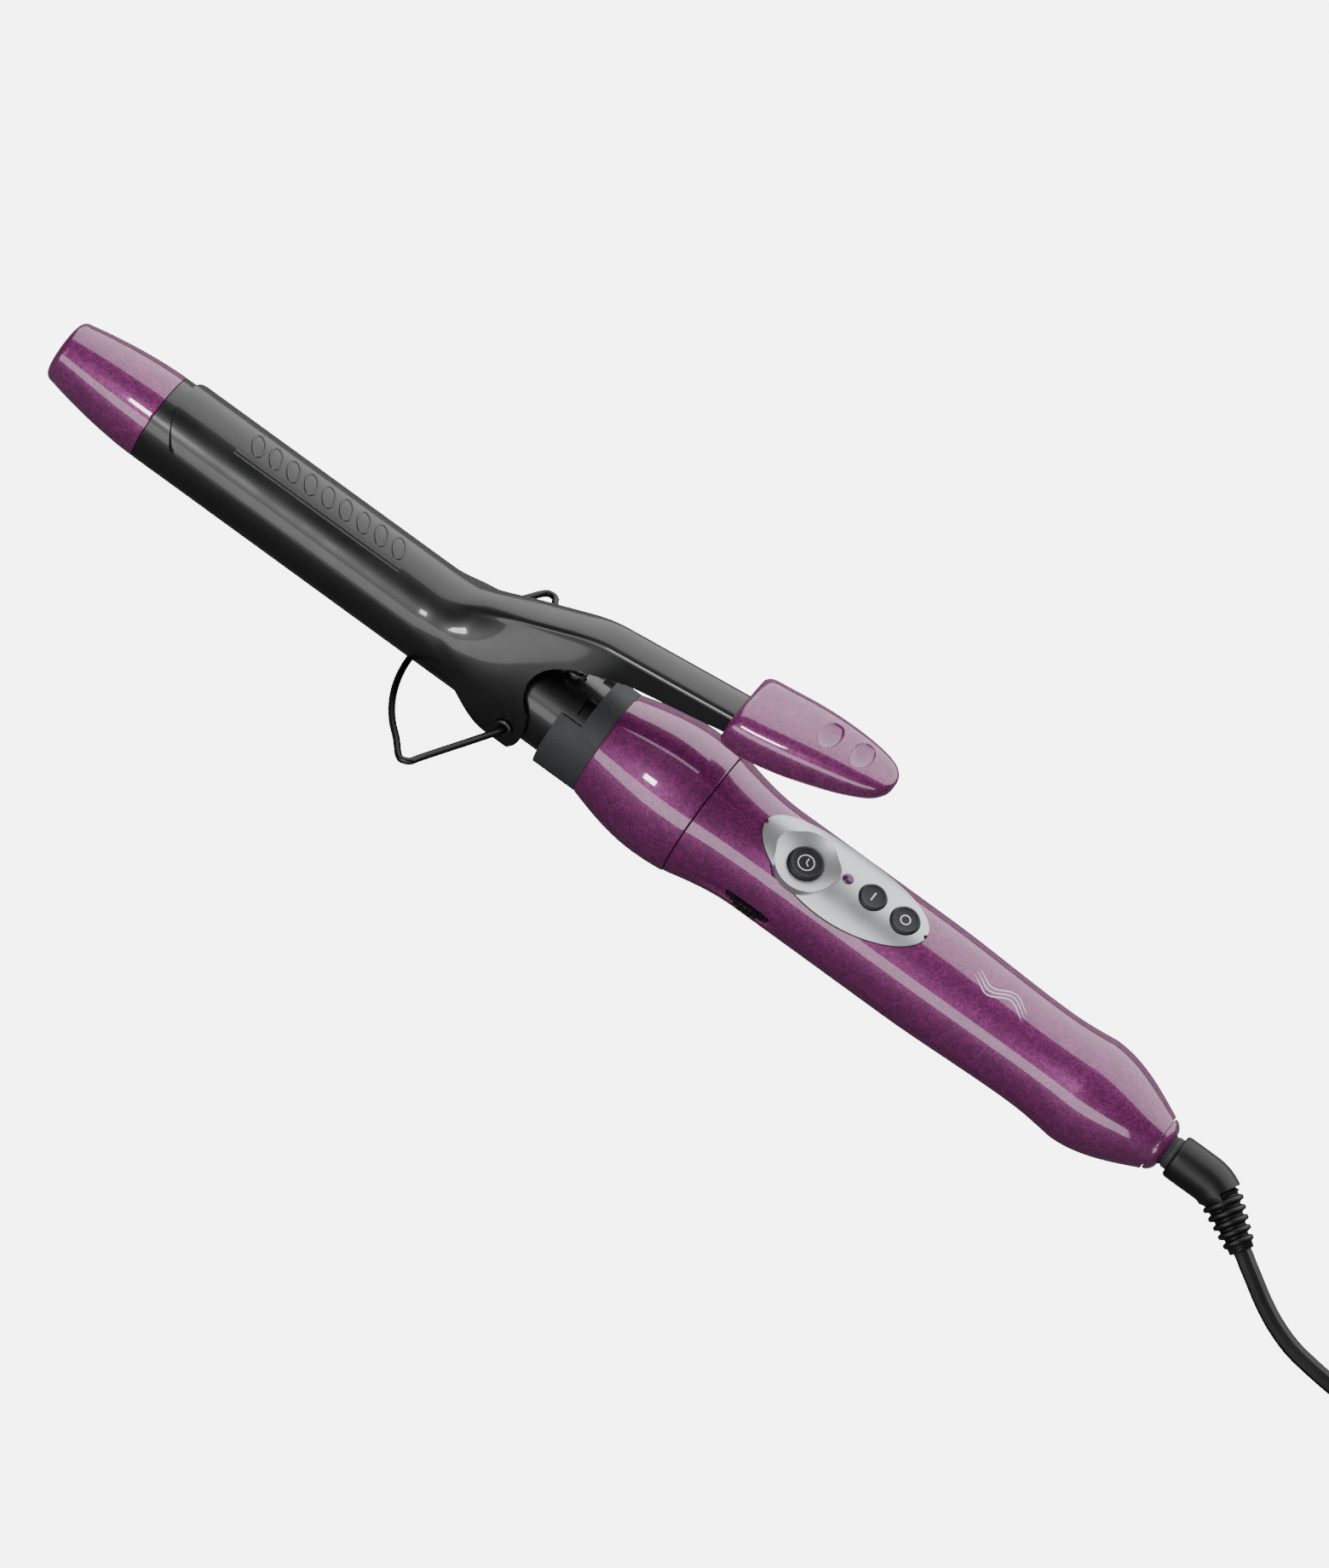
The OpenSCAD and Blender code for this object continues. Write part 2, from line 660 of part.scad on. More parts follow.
module control_holes(extra) {
    through(on_x, upper_y, on_d / 2 + extra, 5, 30);
    through(off_x, upper_y, off_d / 2 + extra, 5, 30);
    through(lens_x, upper_y, lens_r + extra - button_gap, 5, 30);
    through(timer_x, timer_y, timer_d / 2 + extra, 5, 30);
}

// The whole body before it is parted, with its tongue for the nose
module body_blank() {
    difference() {
        union() {
            body_solid(0);
            rod_x(grip_x - tongue_len, grip_x + 1, tongue_r);
        }
        difference() {
            body_hollow();
            for (x = screw_x) through(x, 0, screw_boss_r, -30, 30);
            through(wheel_x, -wheel_in, 3, -30, -5.5);
            for (x = [board_x + 1, board_x + board_len - 2.2])
                translate([x, -board_half - 1, board_z + board_t]) cube([1.2, 2 * board_half + 2, 30]);
        }
        rod_x(bush_x, tail_x + 1, hub_r + 2.3);
        rod_x(bush_x - 9, bush_x + 1, hub_r + 2.3);
        wheel_slot();
    }
}

// Slot for the wheel, with a long shallow scoop in the surface round it
module wheel_slot() {
    scoop_r = 4;
    scoop_sweep = 60;
    translate([wheel_x, -wheel_in, -wheel_t / 2 - 0.4]) cylinder(h = wheel_t + 0.8, r = wheel_r + 0.5);
    translate([wheel_x, -grip_r + 1.2 - scoop_sweep - scoop_r, 0]) rotate([0, 0, 65])
        rotate_extrude(angle = 50, $fn = 180) translate([scoop_sweep, 0]) circle(r = scoop_r, $fn = 32);
}

module handle_upper_shell() {
    color("#7b3a78") in_place() handle_frame() difference() {
        intersection() {
            body_blank();
            half_space(1);
        }
        difference() {
            linear_extrude(30) polygon(panel_shape(panel_gap));
            body_solid(-panel_t);
        }
        through(timer_x, timer_y, dish_boss_r + panel_gap, dish_floor, 30);
        control_holes(button_gap + 0.1);
        for (x = screw_x) through(x, 0, pilot_r, -1, 8);
    }
}

module handle_lower_shell() {
    color("#7b3a78") in_place() handle_frame() difference() {
        intersection() {
            body_blank();
            half_space(-1);
        }
        for (x = screw_x) {
            through(x, 0, screw_r + 0.15, -30, 1);
            through(x, 0, head_r + 0.2, -30, head_z);
        }
    }
}

module handle_screws() {
    color("#9a9da1") in_place() handle_frame() for (x = screw_x) union() {
        through(x, 0, head_r, head_z - 2, head_z);
        through(x, 0, screw_r, head_z - 0.5, 0);
        through(x, 0, pilot_r, -0.5, 7);
    }
}

module tail_ring() {
    color("#7b3a78") in_place() turned([
        [hub_r + running_gap, tail_x], [tail_r - 0.3, tail_x], [tail_r - 0.6, tail_x + 1.2],
        [hub_r + 1, tail_x + ring_len], [hub_r + running_gap, tail_x + ring_len]
    ]);
}

// ---- Control panel ----

module button_panel() {
    color("#c4c6c8") in_place() handle_frame() difference() {
        intersection() {
            body_solid(panel_proud);
            union() {
                difference() {
                    linear_extrude(30) polygon(panel_shape(0));
                    body_solid(-panel_t);
                }
                through(timer_x, timer_y, dish_boss_r, dish_floor, 30);
            }
        }
        translate([timer_x, timer_y, 31.4]) sphere(r = 18.2, $fn = 96);
        control_holes(button_gap);
    }
}

button_floor = switch_top + button_travel + 0.05;

module round_button(x, y, d, top) {
    crown = 0.5;
    translate([x, y, 0]) rotate_extrude($fn = 48) polygon([
        [0, button_floor], [d / 2, button_floor], [d / 2, top - crown],
        [d / 2 - crown, top - 0.1], [d / 2 - 1.4, top], [0, top - 0.15]
    ]);
}

button_stand = 0.9;

module timer_button() {
    color("#4d5054") in_place() handle_frame() round_button(timer_x, timer_y, timer_d, grip_r - 0.7);
}

module on_button() {
    color("#4d5054") in_place() handle_frame() round_button(on_x, upper_y, on_d, grip_r + button_stand);
}

module off_button() {
    color("#4d5054") in_place() handle_frame() round_button(off_x, upper_y, off_d, grip_r + button_stand);
}

led_top = 12;

module indicator_lens() {
    color("#6a2a68") in_place() handle_frame() union() {
        through(lens_x, upper_y, lens_r, led_top, grip_r + 0.5);
        through(lens_x, upper_y, lens_r - 0.5, grip_r, grip_r + 0.8);
    }
}

module indicator_led() {
    color("#d8dcd8") in_place() handle_frame() through(lens_x, upper_y, 1.4, board_z + board_t, led_top);
}

module control_board() {
    color("#2f6b3c") in_place() handle_frame()
        translate([board_x, -board_half, board_z]) cube([board_len, 2 * board_half, board_t]);
}

module tact_switches() {
    base = board_z + board_t;
    color("#222224") in_place() handle_frame()
        for (at = [[timer_x, timer_y], [on_x, upper_y], [off_x, upper_y]]) union() {
            translate([at[0] - 3, at[1] - 3, base]) cube([6, 6, 3.2]);
            through(at[0], at[1], 1.7, base + 3, switch_top);
        }
}

module lead_terminal() {
    color("#e6e6e0") in_place() handle_frame()
        translate([board_x + 1, -board_half, board_z - 3.2]) cube([6, 2 * board_half, 3.2]);
}

// ---- Temperature wheel ----

wheel_teeth = 36;
tooth_depth = 0.5;

module temperature_wheel() {
    rim = [for (i = [0 : 6 * wheel_teeth - 1]) let (a = i * 60 / wheel_teeth)
        (wheel_r - tooth_depth / 2 * (1 - cos(wheel_teeth * a))) * [cos(a), sin(a)]];
    color("#1d1d1f") in_place() handle_frame() translate([wheel_x, -wheel_in, -wheel_t / 2]) difference() {
        linear_extrude(wheel_t) polygon(rim);
        translate([0, 0, -1]) cylinder(h = wheel_t + 2, r = 1.5);
    }
}

module wheel_spindle() {
    color("#b9bcc0") in_place() handle_frame() through(wheel_x, -wheel_in, 1.5, -4.6, wheel_t / 2);
}

module potentiometer() {
    color("#3f5f8f") in_place() handle_frame() difference() {
        translate([wheel_x - 4.75, -wheel_in - 4.75, -5.5]) cube([9.5, 9.5, 3.4]);
        through(wheel_x, -wheel_in, 1.5 + running_gap, -4.8, 0);
    }
}

// ---- Swivel and its contacts ----

contact_x = [bush_x - 7, bush_x - 3.9];
contact_w = 2;
contact_t = 0.4;
contact_gap = 0.3;
hub_flange_t = 1.4;
spigot_r = 3;
spigot_len = 8;

module mains_leads() {
    color("#2b2b2b") in_place() handle_frame() for (side = [-1, 1])
        translate([0, side * lead_y, lead_z]) rod_x(board_x + 7, contact_x[side > 0 ? 1 : 0] + 0.4, lead_r);
}

module contact_springs() {
    color("#c08a3e") in_place() handle_frame() for (i = [0, 1])
        translate([contact_x[i] + 0.4, i == 0 ? -lead_y - 1.5 : -1.5, hub_r + contact_t + contact_gap])
            cube([1.2, lead_y + 3, contact_t]);
}

module swivel_bush() {
    color("#dcdcd6") in_place() difference() {
        rod_x(bush_x, tail_x, hub_r + 2.3);
        rod_x(bush_x - 1, tail_x + 1, hub_r + running_gap);
    }
}

module swivel_hub() {
    color("#4b4c4e") in_place() difference() {
        union() {
            rod_x(bush_x - 8, neck_end_x, hub_r);
            rod_x(bush_x - 0.3 - hub_flange_t, bush_x - 0.3, hub_r + 1.4);
        }
        rod_x(neck_end_x - spigot_len, neck_end_x + 1, spigot_r);
    }
}

module contact_rings() {
    color("#c08a3e") in_place() for (x = contact_x) difference() {
        rod_x(x, x + contact_w, hub_r + contact_t);
        rod_x(x - 1, x + contact_w + 1, hub_r);
    }
}

// ---- Strain relief ----

relief_end_r = 3.7;

module strain_relief() {
    ribs = 5;
    rib_pitch = relief_leg / (ribs + 2);
    leg = concat(
        [[0, -1], [relief_r - 0.5, -1], [relief_r - 0.8, rib_pitch]],
        [for (i = [0 : ribs - 1])
            let (a = (i + 1) * rib_pitch, r = mix(relief_r - 0.6, relief_end_r + 0.6, i / (ribs - 1)))
            each [[r - 1, a + 0.1], [r - 1, a + 0.35 * rib_pitch], [r, a + 0.45 * rib_pitch], [r - 0.2, a + rib_pitch]]],
        [[relief_end_r, (ribs + 1) * rib_pitch + 0.1], [relief_end_r - 0.3, relief_leg], [0, relief_leg]]
    );
    color("#161617") in_place() union() {
        rod_x(neck_end_x - spigot_len, neck_end_x + 1, spigot_r);
        rod_x(neck_end_x, elbow_x, relief_r);
        translate([elbow_x, 0, 0]) sphere(r = relief_r + 0.02);
        translate([elbow_x, 0, 0]) rotate(a = relief_bend, v = [0, 1, -1])
            rotate([0, 90, 0]) rotate_extrude($fn = 48) polygon(leg);
    }
}

// ---- Cord, hank and plug, in the part's frame ----

module cord() {
    color("#161617") tube_along(curve(route, 3), cord_d / 2, 10);
}

module cord_hank() {
    end_r = hank_w / 2;
    color("#1b1b1d") translate([hank_x + end_r, 0, tie_t]) union() {
        cylinder(h = hank_h, r = end_r);
        translate([0, -end_r, 0]) cube([hank_run, hank_w, hank_h]);
        translate([hank_run, 0, 0]) cylinder(h = hank_h, r = end_r);
    }
}

module cord_tie() {
    middle = hank_x + hank_w / 2 + hank_run / 2;
    color("#2a2a2c") translate([middle - tie_w / 2, 0, 0]) difference() {
        translate([0, -hank_w / 2 - tie_t, 0]) cube([tie_w, hank_w + 2 * tie_t, hank_h + 2 * tie_t]);
        translate([-1, -hank_w / 2, tie_t]) cube([tie_w + 2, hank_w, hank_h]);
    }
}

module plug_lead() {
    color("#161617") tube_along(curve(lead_route, 3), cord_d / 2, 10);
}

plug_w = 20;
plug_h = 14;
plug_len = 22;
plug_neck = 8;
blade_w = 6.4;
blade_t = 1.5;
blade_len = 16.5;
blade_pitch = 12.7;

module plug_body() {
    round_r = 4;
    color("#161617") translate(plug) union() {
        translate([-plug_neck, 0, 0]) rotate([0, 90, 0]) cylinder(h = plug_neck, r1 = 6, r2 = 3.8);
        translate([-plug_neck - plug_len, 0, 0]) rotate([0, 90, 0]) linear_extrude(plug_len + 0.5) union() {
            square([plug_h, plug_w - 2 * round_r], center = true);
            square([plug_h - 2 * round_r, plug_w], center = true);
            for (y = [-1, 1]) for (z = [-1, 1])
                translate([z * (plug_h / 2 - round_r), y * (plug_w / 2 - round_r)]) circle(r = round_r);
        }
    }
}

module plug_blades() {
    color("#c9b26a") translate(plug) for (side = [-1, 1]) difference() {
        translate([-plug_neck - plug_len - blade_len, side * blade_pitch / 2 - blade_t / 2, -blade_w / 2])
            cube([blade_len, blade_t, blade_w]);
        translate([-plug_neck - plug_len - blade_len + 3.6, 0, 0]) rod_y(-plug_w, plug_w, 1.6);
    }
}

barrel_tube();
cool_tip();
tip_bush();
heater_core();
heater_pads();
insulation_sheets();
thermal_fuse();
heater_leads();
spring_saddle();
clamp_spring();
hinge_eyelets();
clamp_spoon();
thumb_rest();
stand_wire();
neck_collar();
barrel_holder();
handle_nose();
handle_upper_shell();
handle_lower_shell();
handle_screws();
tail_ring();
button_panel();
timer_button();
on_button();
off_button();
indicator_lens();
indicator_led();
control_board();
tact_switches();
lead_terminal();
temperature_wheel();
wheel_spindle();
potentiometer();
mains_leads();
contact_springs();
swivel_bush();
swivel_hub();
contact_rings();
strain_relief();
cord();
cord_hank();
cord_tie();
plug_lead();
plug_body();
plug_blades();
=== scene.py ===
import math

import bmesh
import bpy
from mathutils import Matrix, Vector


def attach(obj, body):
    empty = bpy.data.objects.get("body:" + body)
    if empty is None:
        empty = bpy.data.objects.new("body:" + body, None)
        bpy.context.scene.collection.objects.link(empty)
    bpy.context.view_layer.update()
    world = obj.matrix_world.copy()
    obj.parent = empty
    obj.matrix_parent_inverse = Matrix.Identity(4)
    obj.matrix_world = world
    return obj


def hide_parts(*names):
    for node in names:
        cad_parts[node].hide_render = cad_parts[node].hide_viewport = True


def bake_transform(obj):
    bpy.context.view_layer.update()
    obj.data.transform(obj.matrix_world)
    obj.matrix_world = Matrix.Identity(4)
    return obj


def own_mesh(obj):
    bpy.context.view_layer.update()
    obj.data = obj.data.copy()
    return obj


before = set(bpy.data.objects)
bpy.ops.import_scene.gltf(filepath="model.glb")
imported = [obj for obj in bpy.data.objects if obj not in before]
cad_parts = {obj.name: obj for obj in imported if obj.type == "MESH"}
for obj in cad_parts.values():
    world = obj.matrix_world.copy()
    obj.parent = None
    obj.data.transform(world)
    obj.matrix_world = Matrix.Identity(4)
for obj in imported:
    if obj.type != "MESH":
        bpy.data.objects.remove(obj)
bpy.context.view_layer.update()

# ---- Camera ----
# The iron is looked at across its length, from 45 degrees above the side that carries the buttons.
# The camera is rolled, so that the iron runs down the picture from its cool tip to its cord.
MM = 0.001
MIDDLE_X = 150.0  # from the cool tip's seam to the part's origin, in mm along the barrel
LIFT = 19.5  # height of the barrel's axis over the table, in mm


def place(x, y, z):
    """A point given in mm from the cool tip's seam on the barrel's axis, in the part's frame."""
    return Vector((x - MIDDLE_X, y, z + LIFT)) * MM


camera_data = bpy.data.cameras.new("product_camera")
camera_data.lens = 232.5
camera_data.sensor_width = 36
camera_data.clip_start, camera_data.clip_end = 0.1, 20
camera = bpy.data.objects.new("product_camera", camera_data)
bpy.context.scene.collection.objects.link(camera)
bpy.context.scene.camera = camera
CAMERA_HEIGHT, CAMERA_TURN, CAMERA_ROLL = math.radians(45), math.radians(4.5), math.radians(36)
CAMERA_DISTANCE = 2.67
towards = Vector((
    math.sin(CAMERA_TURN),
    -math.cos(CAMERA_TURN) * math.cos(CAMERA_HEIGHT),
    math.cos(CAMERA_TURN) * math.sin(CAMERA_HEIGHT),
))
along = (Vector((1, 0, 0)) - towards * towards.x).normalized()
across = towards.cross(along)
picture_right = math.cos(CAMERA_ROLL) * along + math.sin(CAMERA_ROLL) * across
picture_up = -math.sin(CAMERA_ROLL) * along + math.cos(CAMERA_ROLL) * across
camera.matrix_world = (
    Matrix.Translation(place(165.6, 0, 0) + towards * CAMERA_DISTANCE)
    @ Matrix((picture_right, picture_up, towards)).transposed().to_4x4()
)


# ---- Cord and its hank ----
# Black PVC mains cord, 5 mm round and 1.8 m long. It drops from the strain relief to the table,
# and the rest is wound in a hank of long turns that lies past the iron's tail.
CORD_D = 0.005


def linear(hex_colour):
    """An sRGB hex colour such as 7b3a78 as Blender's linear colour."""
    parts = [int(hex_colour[i:i + 2], 16) / 255 for i in (0, 2, 4)]
    return tuple(c / 12.92 if c <= 0.04045 else ((c + 0.055) / 1.055) ** 2.4 for c in parts) + (1.0,)


def add_node(tree, kind, settings=None, inputs=None):
    """Adds one shader node with its settings, and sets or links its inputs."""
    made = tree.nodes.new(kind)
    for name, value in (settings or {}).items():
        setattr(made, name, value)
    for name, value in (inputs or {}).items():
        socket = made.inputs[name]
        if isinstance(value, bpy.types.NodeSocket):
            tree.links.new(value, socket)
        else:
            socket.default_value = value
    return made


def new_material(name, colour, rough, grain_mm, bump, shade=None, **settings):
    """A material whose colour and roughness vary with a grain of that size, in mm, under a fine bump.

    shade is the second colour of the grain; settings are inputs of the shader, with _ for spaces.
    """
    material = bpy.data.materials.new(name)
    material.use_nodes = True
    tree = material.node_tree
    shader = tree.nodes["Principled BSDF"]
    for key, value in settings.items():
        shader.inputs[key.replace("_", " ")].default_value = value
    coords = add_node(tree, "ShaderNodeTexCoord")
    grain = add_node(tree, "ShaderNodeTexNoise", {}, {
        "Vector": coords.outputs["Object"], "Scale": 1000 / grain_mm, "Detail": 3.0})
    cloud = add_node(tree, "ShaderNodeTexNoise", {}, {
        "Vector": coords.outputs["Object"], "Scale": 1000 / (grain_mm * 25), "Detail": 2.0})
    tint = add_node(tree, "ShaderNodeMix", {"data_type": "RGBA"}, {"Factor": grain.outputs["Fac"]})
    tint.inputs["A"].default_value = linear(colour)
    tint.inputs["B"].default_value = linear(shade or colour)
    tree.links.new(tint.outputs["Result"], shader.inputs["Base Color"])
    spread = add_node(tree, "ShaderNodeMapRange", {}, {
        "Value": cloud.outputs["Fac"], "From Min": 0.3, "From Max": 0.7,
        "To Min": rough * 0.88, "To Max": rough * 1.12})
    tree.links.new(spread.outputs["Result"], shader.inputs["Roughness"])
    relief = add_node(tree, "ShaderNodeBump", {}, {
        "Height": grain.outputs["Fac"], "Strength": bump, "Distance": grain_mm * MM * 0.2})
    tree.links.new(relief.outputs["Normal"], shader.inputs["Normal"])
    return material


def smooth(points, steps):
    """A smooth curve through the points, with that many steps between each two."""
    made = []
    for i in range(len(points) - 1):
        a, b, c = points[max(i - 1, 0)], points[i], points[i + 1]
        d = points[min(i + 2, len(points) - 1)]
        for s in range(steps):
            t = s / steps
            bow = 1.5 * (b - c) + (d - a) / 2
            made.append(b + t * ((c - a) / 2 + t * (a - 2.5 * b + 2 * c - d / 2 + t * bow)))
    return made + [points[-1]]


def round_bar(line, radius, resolution=4, radii=None):
    """A bmesh of a round cord or wire along a line of points, in metres, with closed ends."""
    curve = bpy.data.curves.new("bar", "CURVE")
    curve.dimensions = "3D"
    curve.bevel_depth = radius
    curve.bevel_resolution = resolution
    curve.use_fill_caps = True
    spline = curve.splines.new("POLY")
    spline.points.add(len(line) - 1)
    for i, at in enumerate(line):
        spline.points[i].co = (*at, 1)
        spline.points[i].radius = radii[i] if radii else 1.0
    bar = bpy.data.objects.new("bar", curve)
    bpy.context.scene.collection.objects.link(bar)
    shown = bar.evaluated_get(bpy.context.evaluated_depsgraph_get())
    bm = bmesh.new()
    bm.from_mesh(shown.to_mesh())
    shown.to_mesh_clear()
    bpy.data.objects.remove(bar)
    bpy.data.curves.remove(curve)
    return bm


def make_piece(name, bm, material, body, slot, *nodes, sharp=35):
    """Makes a piece of the bmesh, smooth but for edges sharper than that, in place of the CAD nodes."""
    bmesh.ops.remove_doubles(bm, verts=bm.verts[:], dist=1e-6)
    bmesh.ops.recalc_face_normals(bm, faces=bm.faces[:])
    mesh = bpy.data.meshes.new(name)
    bm.to_mesh(mesh)
    bm.free()
    mesh.shade_smooth()
    mesh.set_sharp_from_angle(angle=math.radians(sharp))
    mesh.materials.append(material)
    made = bpy.data.objects.new(name, mesh)
    bpy.context.scene.collection.objects.link(made)
    if body:
        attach(made, body)
    if nodes:
        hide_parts(*nodes)
    return made


ROUTE = (
    (211.6, -7.3, 12), (214, -8.4, 10.9), (218, -10.1, 9.1), (223, -12, 6.7), (229, -14, 4.5),
    (236, -15.8, 3), (243, -16.9, 2.6), (250, -17.8, 2.6), (257, -18.8, 3), (263, -19.5, 3.4)
)
LEAD_ROUTE = (
    (326, 21, 18.5), (320, 23.6, 18), (314, 26.8, 17), (308, 29.6, 15.3), (302, 32.2, 13),
    (296, 34.6, 10.8), (290, 36.3, 9), (284, 37, 8)
)
HANK_X, HANK_RUN, HANK_W, TIE_T = 250.0, 73.0, 45.0, 1.0
HANK_HALF_TURNS = 13


def hank_line():
    """The turns of the hank in mm: two turns side by side on each layer, and half a turn on top."""
    cord_mm = CORD_D / MM
    radii = (HANK_W / 2 - cord_mm / 2, HANK_W / 2 - 1.5 * cord_mm)
    ends = (HANK_X + HANK_W / 2, HANK_X + HANK_W / 2 + HANK_RUN)
    points = []
    for half in range(HANK_HALF_TURNS):
        side = -1 if half % 2 == 0 else 1
        start, stop = ends if side < 0 else ends[::-1]
        turn, next_turn = half // 2, (half + 1) // 2
        r0, r1 = (radii[(t + t // 2) % 2] for t in (turn, next_turn))
        z0, z1 = (TIE_T + cord_mm * (t // 2 + 0.5) for t in (turn, next_turn))
        points += [Vector((start + (stop - start) * s / 6, side * r0, z0)) for s in range(6)]
        for s in range(12):
            share = s / 12
            eased = share * share * (3 - 2 * share)
            radius = r0 + (r1 - r0) * eased
            points.append(Vector((
                stop - side * radius * math.sin(math.pi * share),
                side * radius * math.cos(math.pi * share),
                z0 + (z1 - z0) * eased,
            )))
    return points


turns = hank_line()
cord_points = (
    [Vector((210.2, -6.9, 12.6))] + [Vector(p) for p in ROUTE] + turns[1:]
    + [Vector((345.5, 15, 18.5)), Vector((338, 16.6, 18.5)), Vector((332, 18.6, 18.5))]
    + [Vector(p) for p in LEAD_ROUTE]
)
cord_line = [p * MM for p in smooth(cord_points, 3)]
pvc = new_material(
    "soft_PVC", "050506", 0.42, 0.5, 0.25, "0a0a0b", Specular_IOR_Level=0.35)  # satin, drag-marked
power_cord = make_piece("power_cord", round_bar(cord_line, CORD_D / 2, 3), pvc, None, None)
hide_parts("cord", "cord_hank", "plug_lead")
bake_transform(power_cord)


# ---- Plug and tie ----
# A flat two-blade mains plug, moulded on the cord in black PVC with finger grips, and a rubber
# strap round the middle of the hank. The blades are stamped brass.
def from_node(node):
    """A bmesh of a CAD node, with its loose triangles joined and its flat faces made one."""
    bm = bmesh.new()
    bm.from_mesh(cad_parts[node].data)
    bmesh.ops.remove_doubles(bm, verts=bm.verts[:], dist=1e-6)
    bmesh.ops.dissolve_limit(
        bm, angle_limit=math.radians(1), use_dissolve_boundaries=False,
        verts=bm.verts[:], edges=bm.edges[:], delimit=set())
    return bm


def bevelled(piece, width_mm, segments=2, angle=30):
    """Rounds the sharp edges of a piece."""
    bevel = piece.modifiers.new("rounded_edges", "BEVEL")
    bevel.width = width_mm * MM
    bevel.segments = segments
    bevel.limit_method = "ANGLE"
    bevel.angle_limit = math.radians(angle)
    bevel.harden_normals = False
    return piece


cord_tie = bevelled(make_piece(
    "hank_tie", from_node("cord_tie"), pvc, "root", "black_rubber", "cord_tie"), 0.3)

PLUG = Vector((285.0, 37.0, 8.0))
PLUG_W, PLUG_H = 20.0, 14.0
GRIP_RIB_R = 0.5


def skin_rings(bm, rings):
    """Joins each ring of vertices to the next and closes both ends."""
    for a, b in zip(rings, rings[1:]):
        loops = [e for e in {e for v in a + b for e in v.link_edges}
                 if all(v in a for v in e.verts) or all(v in b for v in e.verts)]
        bmesh.ops.bridge_loops(bm, edges=loops)
    for ring in (rings[0], rings[-1]):
        bmesh.ops.contextual_create(bm, geom=ring)


def plug_shape():
    """The plug's body: an oval block, waisted for the fingers, that runs down to the cord."""
    bm = bmesh.new()
    stations = (
        (-30, 0.93, 0.90), (-29.4, 0.99, 0.98), (-28, 1, 1), (-23, 1, 1), (-19, 0.90, 0.97),
        (-15, 0.86, 0.95), (-11, 0.90, 0.97), (-8.6, 0.86, 0.90), (-7.6, 0.60, 0.72), (-5, 0.52, 0.66),
        (-1, 0.40, 0.56), (0, 0.37, 0.50)
    )
    rings = []
    for x, wide, high in stations:
        ring = bmesh.ops.create_circle(bm, segments=48, radius=1.0)["verts"]
        power = 0.55 if x < -8 else 0.9
        for v in ring:
            y, z = v.co.x, v.co.y
            v.co = (PLUG + Vector((
                x, math.copysign(abs(y) ** power, y) * PLUG_W / 2 * wide,
                math.copysign(abs(z) ** power, z) * PLUG_H / 2 * high))) * MM
        rings.append(ring)
    skin_rings(bm, rings)
    return bm


plug_body = make_piece("plug_moulding", plug_shape(), pvc, "root", "black_rubber", "plug_body", sharp=50)
for i in range(4):
    grip_line = []
    for k in range(33):
        a = 2 * math.pi * k / 32
        grip_line.append((PLUG + Vector((
            -19.5 + 2.6 * i,
            math.copysign(abs(math.cos(a)) ** 0.55, math.cos(a)) * 8.75,
            math.copysign(abs(math.sin(a)) ** 0.55, math.sin(a)) * 6.6))) * MM)
    make_piece(
        f"plug_grip_rib_{i + 1}", round_bar(grip_line, GRIP_RIB_R * MM, 2), pvc, "root", "black_rubber")
brass = new_material("stamped_brass", "c9a85a", 0.28, 0.3, 0.1, "b8964a", Metallic=1.0)  # warm, dull shine
plug_blades = bevelled(make_piece(
    "brass_blades", from_node("plug_blades"), brass, "root", "brass", "plug_blades"), 0.25)


# ---- Table and lights ----
# A plain pale table. One long softbox hangs overhead and behind, one stands low in front, and a
# small lamp by the camera gives the little highlights.
table_bm = bmesh.new()
bmesh.ops.create_grid(table_bm, x_segments=1, y_segments=1, size=6)
table_mesh = bpy.data.meshes.new("table_top")
table_bm.to_mesh(table_mesh)
table_bm.free()
table_top = bpy.data.objects.new("table_top", table_mesh)
bpy.context.scene.collection.objects.link(table_top)
table_paint = new_material("matt_grey_paint", "585858", 0.9, 2.0, 0.02, "5c5c5c")
# It glows for the camera alone, so that it looks white without lighting the iron from below.
glow = add_node(table_paint.node_tree, "ShaderNodeLightPath")
glow_power = add_node(table_paint.node_tree, "ShaderNodeMath", {"operation": "MULTIPLY"}, {
    0: glow.outputs["Is Camera Ray"], 1: 6.0})
table_shader = table_paint.node_tree.nodes["Principled BSDF"]
table_shader.inputs["Emission Color"].default_value = linear("ffffff")
table_paint.node_tree.links.new(glow_power.outputs["Value"], table_shader.inputs["Emission Strength"])
table_mesh.materials.append(table_paint)

world = bpy.data.worlds.new("studio")
world.use_nodes = True
world.node_tree.nodes["Background"].inputs["Color"].default_value = linear("ffffff")
world.node_tree.nodes["Background"].inputs["Strength"].default_value = 0.10
bpy.context.scene.world = world


def softbox(name, angle, distance, width, length, power, x=150):
    """A lamp that faces the barrel from that angle, in degrees from the horizon on the buttons' side."""
    data = bpy.data.lights.new(name, "AREA")
    data.shape = "RECTANGLE"
    data.size, data.size_y = length, width
    data.energy = power
    lamp = bpy.data.objects.new(name, data)
    bpy.context.scene.collection.objects.link(lamp)
    away = Vector((0, -math.cos(math.radians(angle)), math.sin(math.radians(angle))))
    side = Vector((1, 0, 0))
    lamp.matrix_world = (
        Matrix.Translation(place(x, 0, 0) + away * distance)
        @ Matrix((side, away.cross(side), away)).transposed().to_4x4()
    )
    return lamp


softbox("softbox_above", 130, 0.8, 1.4, 2.4, 30)
softbox("softbox_front", 12, 1.1, 0.42, 2.4, 13)
softbox("lamp_by_camera", 37, 2.0, 0.30, 0.30, 18, -450)


